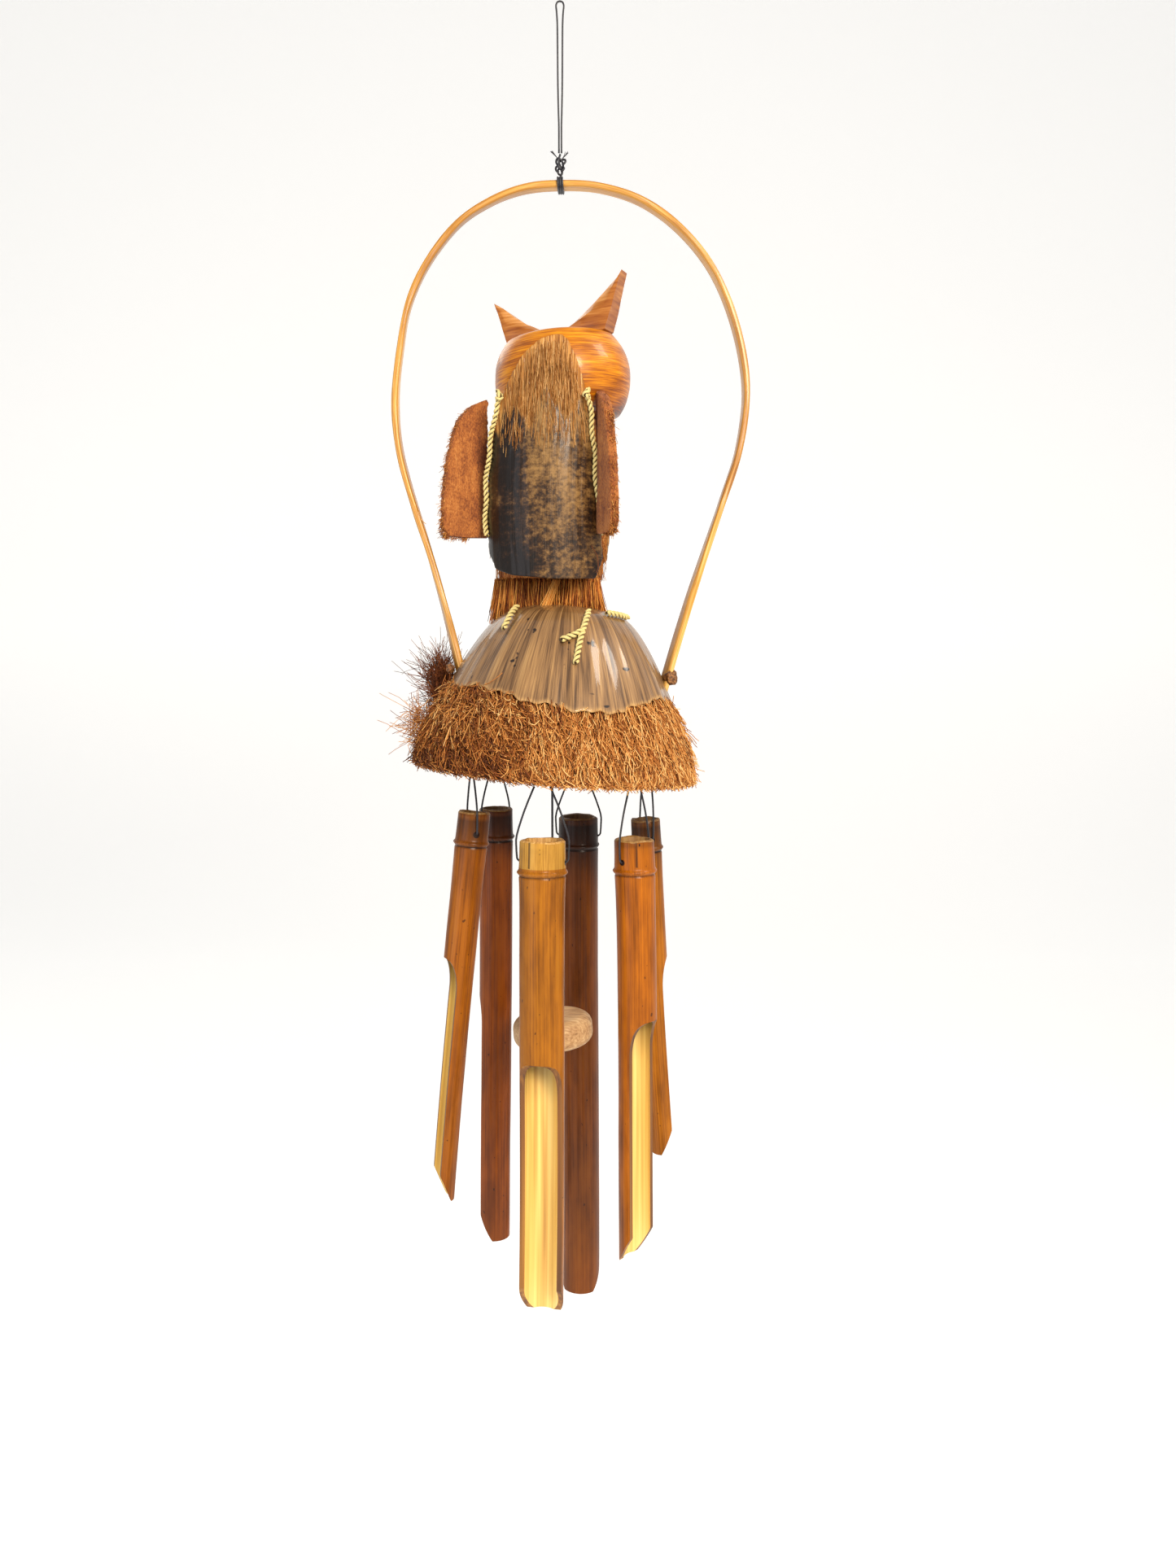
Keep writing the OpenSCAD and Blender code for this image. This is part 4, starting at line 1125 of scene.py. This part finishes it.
def roof_skin():
    """The dome line with folds added to its radius, closed over the cap, turned under at the lip and
    brought back up 2.5 mm inside: cap, slope, lip, inner slope, inner cap."""
    columns = 360
    a = 2 * np.pi * np.arange(columns) / columns
    v = np.linspace(0, 1, 70)[:, None] ** 1.3
    t = v * lip_t(a)
    crest = folds(a, t)
    outer = dome_r(t) + 0.0009 * crest * np.clip(t / 0.1, 0.25, 1)
    fall = ROOF_TOP + (ROOF_LOW - ROOF_TOP) * t
    cap_v = np.array([1e-6, 0.3, 0.6, 0.8, 0.93])[:, None]
    cap_r = cap_v * (CAP_R + 0.0003 * crest[:1])
    cap_z = ROOF_TOP + 0.004 * (1 - cap_v**2.6) + 0 * a
    inner_v = np.array([1.0, 0.85, 0.6, 0.3, 0.0])[:, None]
    inner_t = inner_v * lip_t(a)
    inner_r = dome_r(inner_t) - SKIN_T * 0.9
    inner_z = ROOF_TOP + (ROOF_LOW - ROOF_TOP) * inner_t
    r = np.concatenate([cap_r, outer, inner_r, [np.full(columns, 1e-6)]])
    z = np.concatenate([cap_z, fall, inner_z, [np.full(columns, ROOF_TOP - 0.001)]])
    rings = np.stack([r * np.cos(a), r * np.sin(a), z], axis=-1)
    # The shade attribute paints shade in the folds and light on the crests.
    steep = np.concatenate([0.3 * crest[:1] * cap_v, crest, np.zeros((6, columns))])
    torn = np.broadcast_to(np.clip((v - 0.955) / 0.04, 0, 1), t.shape)
    torn = np.concatenate([np.zeros((5, columns)), torn, np.ones((6, columns))])
    slope = np.concatenate([0 * cap_r, fall - ROOF_TOP, inner_z - ROOF_TOP])
    slope = np.concatenate([slope, slope[-1:]])
    grain = np.stack([0.055 * np.cos(a) + 0 * r, 0.055 * np.sin(a) + 0 * r, slope], axis=-1)
    return put_mesh("roof_husk_skin", on_roof(rings.reshape(-1, 3)), grid_faces(len(r), columns, True),
                    material=roof_skin_material(), grain=grain, tone=torn, shade=0.045 * steep)


settle(outward(roof_skin(), 2e-6), "chime", "roof_skin", "roof_husk")

TIES = [
    [(216, 0.005), (222, 0.06), (226, 0.15)],
    [(292, 0.005), (286, 0.07), (281, 0.18), (278, 0.32)],
    [(312, 0.005), (330, 0.01), (345, 0.02)],
    [(283.5, 0.12), (277, 0.155), (269, 0.19)],
]


def tie_line(marks, lift):
    """Marks of (direction in degrees, t) laid on the roof's slope, lifted off it."""
    a, t = np.radians([m[0] for m in marks]), np.array([m[1] for m in marks])
    r = dome_r(t) + lift
    return on_roof(smooth_line(np.stack([r * np.cos(a), r * np.sin(a),
                                         ROOF_TOP + (ROOF_LOW - ROOF_TOP) * t + lift], axis=1), 8))


settle(raffia_piece("raffia_ties_twist", [tie_line(marks, 0.0013) for marks in TIES], 0.00080, 0.0058),
       "chime", "raffia", "raffia_ties")


# ---------------------------------------------------------------- coir of the roof
# The husk's own fibre fills the roof and hangs below the skin as a thick fringe: rooted all round the slope,
# combed sideways on the left, brushed straight down on the right, and hollow inside where the clapper hangs.


def coir_body():
    """The packed fibre: from the peg out under the skin, down the slope 3.4 mm inside the dome line, in
    across the rim and up the hollow's cone, with ripples that follow the strands."""
    columns = 180
    a = 2 * np.pi * np.arange(columns) / columns
    t = np.linspace(0.02, 0.94, 40)
    line = np.concatenate([
        [(1e-6, ROOF_TOP - 0.0035), (0.022, ROOF_TOP - 0.0035)],
        np.stack([dome_r(t) - 0.0034, ROOF_TOP + (ROOF_LOW - ROOF_TOP) * t], axis=1),
        [(0.0660, -0.3830), (0.055, -0.3846), (0.0405, -0.3846), (0.0385, -0.3835)],
        np.stack([np.linspace(0.0372, 0.0166, 16), np.linspace(-0.381, -0.3335, 16)], axis=1),
        [(0.012, -0.3322), (1e-6, -0.3322)],
    ])
    rings = revolved(line, columns)
    rough = ripple(rings.reshape(-1, 3) * (1, 1, 0.3), 0.006, 61).reshape(rings.shape[:2])
    inside = (line[:, 0] > 0.02)[:, None]
    rings[..., :2] *= (1 + 0.010 * rough * inside)[..., None]
    tone = 0.22 + 0.12 * ripple(rings.reshape(-1, 3) * (1, 1, 0.1), 0.002, 62)
    return put_mesh("roof_packed_coir", on_roof(rings.reshape(-1, 3)), grid_faces(len(line), columns, True),
                    material=COIR, tone=tone)


settle(outward(coir_body(), 2e-6), "chime", "fringe_fibre", "roof_crown")


def inside_outline(rng, lines):
    """Pulls fibres that stray past the dome line back to a quarter of the way out, and those that hang
    below the rim back to a quarter of the way down. The line itself turns in by 5 mm over its last fifth,
    as brushed coir does."""
    count = len(lines)
    r = np.hypot(lines[..., 0], lines[..., 1])
    t = np.clip((ROOF_TOP - lines[..., 2]) / (ROOF_TOP - ROOF_LOW), 0, 1)
    edge = dome_r(t) - 0.005 * np.clip((t - 0.8) / 0.2, 0, 1) ** 2 + rng.exponential(0.0012, count)[:, None]
    lines[..., :2] *= (np.where(r > edge, edge + 0.25 * (r - edge), r) / r)[..., None]
    low = ROOF_LOW + 0.0028 * np.clip((r - 0.058) / 0.014, 0, 1) + rng.normal(0, 0.0008, count)[:, None]
    lines[..., 2] = np.maximum(lines[..., 2], low + 0.25 * (lines[..., 2] - low))
    return lines


def fringe_tuft(k):
    """One sixth of the fringe. Roots are spread over the slope below the lip, over the rim and up the
    hollow; the strands run down the slope, leaned sideways on the left, with more curl the further down."""
    rng = np.random.default_rng(70 + k)
    slope, rim, inner = 3400, 900, 450
    count = slope + rim + inner
    at_rim, at_hollow = slice(slope, slope + rim), slice(slope + rim, None)
    a = np.radians(60 * k) + rng.uniform(-np.pi / 6, np.pi / 6, count)
    lip = lip_t(a) - 0.02
    t = np.concatenate([(lip + (1.0 - lip) * rng.uniform(0, 1, count) ** 0.9)[:slope], np.ones(rim + inner)])
    r = dome_r(t) - rng.uniform(0.0005, 0.0045, count)
    z = ROOF_TOP + (ROOF_LOW - ROOF_TOP) * t + 0.001
    r[at_rim] = rng.uniform(0.040, 0.0745, rim)
    z[at_rim] = -0.3835
    deep = rng.uniform(0.02, 0.55, inner)
    r[at_hollow] = 0.0372 - 0.0212 * deep
    z[at_hollow] = -0.3845 + 0.050 * deep
    out = np.stack([np.cos(a), np.sin(a), 0 * a], axis=1)
    aside = np.stack([-np.sin(a), np.cos(a), 0 * a], axis=1)
    root = out * r[:, None] + np.stack([0 * z, 0 * z, z], axis=1)
    steep = np.clip(1.25 - t, 0.2, 0.8)[:, None]
    left = np.clip((-root[:, :1] + 0.005) / 0.04, 0, 1) * (root[:, 2:] > -0.384)
    way = (0.62 * steep + 0.16) * out - (0, 0, 1.0) + left * (0.95 * aside + 0.10 * out)
    way[at_rim] = 0.12 * out[at_rim] - (0, 0, 1.0)
    way[at_hollow] = -0.10 * out[at_hollow] - (0, 0, 1.0)
    way = way + 0.22 * rng.normal(size=(count, 3))
    length = rng.uniform(0.007, 0.0175, count)
    length[at_rim] = rng.uniform(0.003, 0.0065, rim)
    length[at_hollow] = rng.uniform(0.003, 0.009, inner)
    length = np.minimum(length, np.clip(root[:, 2] + 0.3935, 0.003, 0.02))
    lines = curls(rng, root, way, length, 0.22 + 0.12 * left[:, 0][:, None, None], 6)
    lines = inside_outline(rng, lines)
    # Painted shade: the strands on the lower left are darker, and those over the rim and up the hollow darker
    # still.
    darker = left[:, 0] * (0.12 + 0.30 * np.clip((t - 0.6) / 0.3, 0, 1))
    tone = np.clip(rng.normal(0.64, 0.26, count) - darker, 0.05, 1)
    tone[slope:] -= 0.16
    piece = strand_piece(f"fringe_tuft_{k + 1}", on_roof(lines.reshape(-1, 3)).reshape(lines.shape), 0.00021,
                         np.clip(tone, 0.03, 1), COIR)
    settle(piece, "chime", "fringe_fibre", f"fringe_{k + 1}")


for k in range(6):
    fringe_tuft(k)

DARK_COIR = coir_material("coir_raw_dark", [(0.15, "2c1206"), (0.45, "6e3714"), (0.75, "9c5a26"),
                                            (1.0, "c2803c")])
rng = np.random.default_rng(80)
count = 1100
climb = rng.uniform(0, 0.55, count)
tuft_low, tuft_high = np.array([-0.062, 0.012, -0.356]), np.array([-0.068, 0.015, -0.318])
root = (1 - climb[:, None]) * tuft_low + climb[:, None] * tuft_high
root = root + rng.normal(0, 0.0029, (count, 3)) * (1, 1, 0.6)
way = np.array([-0.10, 0.05, 1.0]) + 0.42 * rng.normal(size=(count, 3))
lines = curls(rng, root, way, rng.uniform(0.006, 0.015, count), 0.5, 8)
settle(strand_piece("roof_tuft_upright", lines, 0.00013, rng.uniform(0.1, 0.8, count), DARK_COIR), "chime",
       "fringe_fibre", "roof_tuft")
root = np.column_stack([rng.uniform(-0.078, -0.070, 260), rng.uniform(-0.02, 0.02, 260),
                        rng.uniform(-0.372, -0.352, 260)])
way = np.array([-0.5, -0.1, 0.2]) + 0.7 * rng.normal(size=(260, 3))
settle(strand_piece("roof_stray_curls", curls(rng, root, way, rng.uniform(0.005, 0.010, 260), 0.5, 6),
                    0.00016, rng.uniform(0.2, 0.8, 260), COIR), "chime", "fringe_fibre")


# ---------------------------------------------------------------- six bamboo tubes
# Thin bamboo cut just above a node, so that each has a shallow cup on top, a wall of pith across it and an
# open bore below. The lower part is scooped open along one side and cut to a slanted point, singed and
# varnished amber.

CUP_DEPTH, PITH_T, NODE_RING, SCOOP_H, TIP_H = 0.015, 0.0025, 0.0008, 0.018, 0.016
BORE_SHARE, CUT_SHARE, TIP_SHARE = 0.74, 0.22, -0.6
TUBE_COLUMNS = 121
CUP_ROWS, PITH_ROWS = 7, 3
PALE_TUBE = 2

# skin colour (on tubes 2 and 4, at the back, darker: partly painted shade), how far the singeing reaches
# down (mm), how strong it is, how brown the cup is, bow (mm)
TUBE_LOOKS = [
    ("9a5a08", 14, 0.75, 0.45, 0.8),
    ("904a06", 24, 0.95, 0.85, -0.5),
    ("a5680e", 3, 0.20, 0.0, -0.7),
    ("7a4208", 30, 1.0, 0.95, 0.4),
    ("b06608", 5, 0.35, 0.6, 0.9),
    ("b06e10", 20, 0.95, 0.9, -0.6),
]


def bamboo_skin_material():
    """Smooth outer skin of bamboo, stained amber and varnished: long faint fibres 0.8 mm apart, slow
    blotches a few centimetres long, a scatter of dark specks 1 mm across, painted shade as a dark disc at
    each cord hole, and nearly black where the tone attribute says: singed, with painted shadow along the
    scoop's edges."""
    material, tree, surface = new_material("bamboo_skin_stained_varnished", 0.42, Coat_Weight=0.1,
                                           Coat_Roughness=0.15, Specular_IOR_Level=0.18)
    grain = node(tree, "Attribute", attribute_name="grain").outputs["Vector"]
    tone = node(tree, "Attribute", attribute_name="tone").outputs["Fac"]
    tint = node(tree, "Attribute", attribute_name="tint").outputs["Color"]
    fibre = pattern(tree, grain, (1300, 1300, 14), Detail=3.0)
    blotch = pattern(tree, grain, (110, 110, 26), Detail=4.0, Roughness=0.6)
    speck = pattern(tree, grain, (420, 420, 300), Detail=1.0)
    specks = node(tree, "MapRange", {"Value": speck, "From Min": 0.74, "From Max": 0.78, "To Max": 0.7})
    both = node(tree, "Mix", {0: 0.55, 2: fibre, 3: blotch}, data_type="FLOAT")
    light = node(tree, "ValToRGB", {"Fac": both.outputs[0]},
                 [(0.30, "8f8270"), (0.45, "cdbfa8"), (0.56, "f4ead8"), (0.68, "ffffff")])
    stained = node(tree, "Mix", {0: 1.0, 6: tint, 7: light.outputs["Color"]}, data_type="RGBA",
                   blend_type="MULTIPLY")
    # Painted shade: a dark disc about 1.5 mm in radius where each cord goes into the tube.
    beside = node(tree, "VectorMath", {0: grain, 1: (1.0, 0.0, 1.0)}, operation="MULTIPLY")
    reach = node(tree, "VectorMath", {0: beside.outputs["Vector"]}, operation="LENGTH")
    hole = node(tree, "MapRange", {"Value": reach.outputs["Value"], "From Min": 0.0013, "From Max": 0.0018,
                                   "To Min": 1.0, "To Max": 0.0})
    marks = node(tree, "Math", {0: specks.outputs["Result"], 1: hole.outputs["Result"]}, operation="MAXIMUM")
    burn = node(tree, "Math", {0: marks.outputs[0], 1: tone}, operation="ADD", use_clamp=True)
    colour = node(tree, "Mix", {0: burn.outputs[0], 6: stained.outputs[2], 7: linear("1b0a04")},
                  data_type="RGBA")
    dress(tree, surface, colour.outputs[2], both.outputs[0], 0.22, 0.0005)
    return material


def bamboo_flesh_material(name, stops, fibre_mm, roughness):
    """Bamboo inside its skin: the straw yellow bore, browner sawn ends and sawn edges that took the amber
    stain, unvarnished, in straight fibres as wide as fibre_mm, dark where the tone attribute says: singed in
    the cup, and painted shadow in the bore above the scoop and under its top."""
    material, tree, surface = new_material(name, roughness)
    grain = node(tree, "Attribute", attribute_name="grain").outputs["Vector"]
    tone = node(tree, "Attribute", attribute_name="tone").outputs["Fac"]
    fine = pattern(tree, grain, (500 / fibre_mm, 500 / fibre_mm, 8), Detail=2.0)
    wide = pattern(tree, grain, (140 / fibre_mm, 140 / fibre_mm, 6), Detail=2.0)
    both = node(tree, "Mix", {0: 0.5, 2: fine, 3: wide}, data_type="FLOAT")
    shade = node(tree, "ValToRGB", {"Fac": both.outputs[0]}, stops)
    colour = node(tree, "Mix", {0: tone, 6: shade.outputs["Color"], 7: linear("3a1f0d")}, data_type="RGBA")
    dress(tree, surface, colour.outputs[2], both.outputs[0], 0.4, 0.0005)
    return material


FLESH = [("bamboo_bore_split", [(0.32, "bd924a"), (0.45, "dfb863"), (0.56, "eed07c"), (0.70, "f6e3a4")],
          1.0, 0.5),
         ("bamboo_end_grain_sawn", [(0.32, "8f5f28"), (0.48, "c4934c"), (0.60, "ddb26c"), (0.72, "efd19a")],
          0.6, 0.6), ("bamboo_edge_sawn_stained", [(0.32, "4e2c0a"), (0.46, "7e4c12"), (0.58, "a06a1e"),
                                                   (0.72, "bf8c3e")], 0.8, 0.55)]
BAMBOO = [bamboo_skin_material(), *(bamboo_flesh_material(*flesh) for flesh in FLESH)]
SKIN_LOOK, BORE_LOOK, END_LOOK, EDGE_LOOK = range(4)


def bamboo_tube(k, direction, radius, top, length, scoop, lean):
    """One profile of (radius, height) rows, each swept round from its own opening angle to its mirror:
    pith, cup wall, rim, outer skin down, slanted end, bore up, pith. A row's opening angle is acos(cut /
    radius), where cut is how far the wall reaches towards the scoop at that height: R - (R - c) sqrt(1 - (1
    - s)^2) down the scoop, then c, then a straight slant over the tip. Two strips close the sawn edges
    between skin and bore."""
    tint, singe, strength, cup_brown, bow = TUBE_LOOKS[k]
    bore, cut = BORE_SHARE * radius, CUT_SHARE * radius
    high, low = HOLE_DEPTH, HOLE_DEPTH - length
    start, floor = HOLE_DEPTH - scoop, HOLE_DEPTH - CUP_DEPTH
    under, node_z = floor - PITH_T, floor - 0.0010
    turn = np.radians(np.linspace(0, 90, 26))
    closed = np.concatenate([np.linspace(high - 0.0008, node_z + 0.003, 8),
                             np.linspace(node_z + 0.0025, node_z - 0.0035, 19),
                             np.linspace(node_z - 0.005, start + 0.002, 20)])
    open_ = np.concatenate([start - SCOOP_H * (1 - np.cos(turn)),
                            np.linspace(start - SCOOP_H - 0.003, low + TIP_H + 0.001, 24),
                            np.linspace(low + TIP_H - 0.0005, low, 18)])
    wall = np.concatenate([closed, open_])
    swell = radius * (0.955 + 0.045 * np.exp(-np.abs(wall - node_z) / 0.009))
    groove = 0.0004 * np.exp(-(((wall - node_z + 0.0019) / 0.0005) ** 2))
    swell += NODE_RING * np.exp(-(((wall - node_z) / 0.0009) ** 2)) - groove
    inner_wall = wall[wall < under - 0.0015][::-1]
    profile = np.concatenate([[(1e-7, floor), (0.5 * bore, floor), (0.97 * bore, floor + 0.0002),
                               (bore, floor + 0.001), (bore, high - 0.0010), (1.03 * bore, high - 0.0001),
                               (0.90 * radius, high)], np.stack([swell, wall], axis=1),
                              np.stack([np.full(len(inner_wall), bore), inner_wall], axis=1),
                              [(bore, under), (0.5 * bore, under), (1e-7, under)]])
    rho, z = profile.T
    s = np.clip((start - z) / SCOOP_H, 0, 1)
    scooped = radius - (radius - cut) * np.sqrt(1 - (1 - s) ** 2)
    slant = TIP_SHARE * radius + (cut + 0.001 - TIP_SHARE * radius) * (z - low) / TIP_H
    reach = np.where(z > start - 1e-9, 1.0, np.minimum(scooped, slant) / rho)
    opening = np.arccos(np.clip(reach, -1, 1))
    share = np.linspace(0, 1, TUBE_COLUMNS)
    a = opening[:, None] + (2 * np.pi - 2 * opening[:, None]) * share
    own = np.stack([rho[:, None] * np.cos(a), rho[:, None] * np.sin(a),
                    np.broadcast_to(z[:, None], a.shape)], axis=-1)
    smooth_ring = np.stack([np.cos(a), np.sin(a), own[..., 2] * 25], axis=-1).reshape(-1, 3)
    rough = ripple(smooth_ring, 1.6, 90 + k).reshape(a.shape)
    near_ring = np.exp(-(((own[..., 2] - node_z) / 0.0022) ** 2))
    at_rim = slice(CUP_ROWS - 1, CUP_ROWS + 1)
    on_skin = np.zeros(len(z), dtype=bool)
    on_skin[CUP_ROWS:CUP_ROWS + len(wall)] = True
    own[..., :2] *= (1 + on_skin[:, None] * (0.006 + 0.018 * near_ring) * rough)[..., None]
    own[at_rim, :, 2] += 0.0004 * rough[at_rim]
    down = (high - own[..., 2]) / length
    bent = own + np.stack([bow / 1000 * np.sin(np.pi * down) * np.ones_like(a),
                           0.4 * bow / 1000 * np.sin(2 * np.pi * down), 0 * a], -1)

    depth_mm = (high - own[..., 2]) * 1000
    tone = strength / (1 + np.exp((depth_mm - singe - 5 * rough) / (1.5 + 0.16 * singe))) * on_skin[:, None]
    tone = tone + 0.6 * np.exp(-(((own[..., 2] - node_z + 0.0018) / 0.0006) ** 2)) * on_skin[:, None]
    tone = tone + 0.10 * np.clip(rough, 0, 1) * near_ring
    in_cup = (depth_mm < 14.0) & (np.arange(len(z)) < CUP_ROWS + 2)[:, None]
    tone = np.where(in_cup, cup_brown * 0.8, tone)
    crack = np.cos(a * 2 + 0.4 * k) * np.cos(a * 5 + k)
    tone = np.where((depth_mm < 13.5) & (crack > 0.965) & on_skin[:, None], np.maximum(tone, 0.75), tone)
    shadow_line = (np.abs(share - 0.5) > 0.492) & on_skin[:, None] & (own[..., 2] < start - 0.006)
    tone = np.where(shadow_line, tone + 0.35, tone)
    # Painted shadow in the bore: full above the scoop, fading out 24 mm below its top.
    in_bore = (np.arange(len(z)) > CUP_ROWS + len(wall))[:, None]
    tone = np.clip(tone + 0.55 * in_bore * np.clip(1 - (start - own[..., 2]) / 0.024, 0, 1), 0, 1)
    colour = np.array(linear(tint)[:3])
    cup_colour = np.array(linear("bf923f")[:3])
    pale = (np.clip(1.15 - depth_mm / 16, 0, 1) > 0.3)[..., None] * (1 - cup_brown) * on_skin[:, None, None]
    pale = pale * (k == PALE_TUBE)
    skin_tint = colour * (1 - pale) + cup_colour * pale
    skin_tint = skin_tint * (1 + 0.10 * rough[..., None])

    first = CUP_ROWS + len(closed)
    last = CUP_ROWS + len(wall) - 1
    outer = np.arange(first, last + 1)
    inner = (2 * last + 1) - outer
    strips = []
    for column in (0, TUBE_COLUMNS - 1):
        p, q = outer * TUBE_COLUMNS + column, inner * TUBE_COLUMNS + column
        strips.append(np.stack([p[:-1], q[:-1], q[1:], p[1:]], axis=1))
    faces = grid_faces(len(z), TUBE_COLUMNS)
    row = np.repeat(np.arange(len(z) - 1), TUBE_COLUMNS - 1)
    kind = np.full(len(row), BORE_LOOK)
    kind[row < last] = SKIN_LOOK
    kind[row == last] = EDGE_LOOK
    kind[(row < CUP_ROWS) | (row >= len(z) - 1 - PITH_ROWS)] = END_LOOK
    kind = np.concatenate([kind, np.full(sum(map(len, strips)), EDGE_LOOK)])
    placed = turned(turned(bent.reshape(-1, 3), 0.0, -math.radians(lean), (RING_R, 0, top - HOLE_DEPTH)),
                    math.radians(direction))
    piece = put_mesh(f"bamboo_tube_{k + 1}", placed, faces, *strips, grain=own, tone=tone,
                     tint=np.broadcast_to(skin_tint, own.shape))
    for material in BAMBOO:
        piece.data.materials.append(material)
    piece.data.polygons.foreach_set("material_index", kind.astype(np.int32))
    creased(outward(piece, 2e-6), 38)
    settle(piece, f"tube_{k + 1}", "tube_bamboo", f"tube_{k + 1}")


for k, (*sizes_of_tube, _) in enumerate(TUBES):
    bamboo_tube(k, *sizes_of_tube)


# ---------------------------------------------------------------- clapper and peg
# The clapper is a turned disc of plain pale wood with rounded edges, bored through the middle and held by
# its knot. A turned peg runs up the middle of the roof and the body and is hidden inside them.


def bare_wood_material():
    """Unfinished light hardwood: straight grain lines 1 mm apart over slow pale rings, dry."""
    material, tree, surface = new_material("hardwood_turned_bare", 0.62)
    own = node(tree, "TexCoord").outputs["Object"]
    line = pattern(tree, own, (90, 1100, 900), turn=(0.1, 0.2, 0.5), Detail=3.0)
    ring = pattern(tree, own, (60, 260, 200), turn=(0.1, 0.2, 0.5), Detail=2.0, Distortion=0.8)
    both = node(tree, "Mix", {0: 0.45, 2: line, 3: ring}, data_type="FLOAT")
    shade = node(tree, "ValToRGB", {"Fac": both.outputs[0]},
                 [(0.32, "84603a"), (0.45, "b0875a"), (0.56, "c49f70"), (0.7, "dcc094")])
    dress(tree, surface, shade.outputs["Color"], line, 0.4, 0.0004)
    return material


BARE_WOOD = bare_wood_material()
for name in ("clapper", "core_peg"):
    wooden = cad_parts[name]
    for slot in wooden.material_slots:
        slot.material = BARE_WOOD
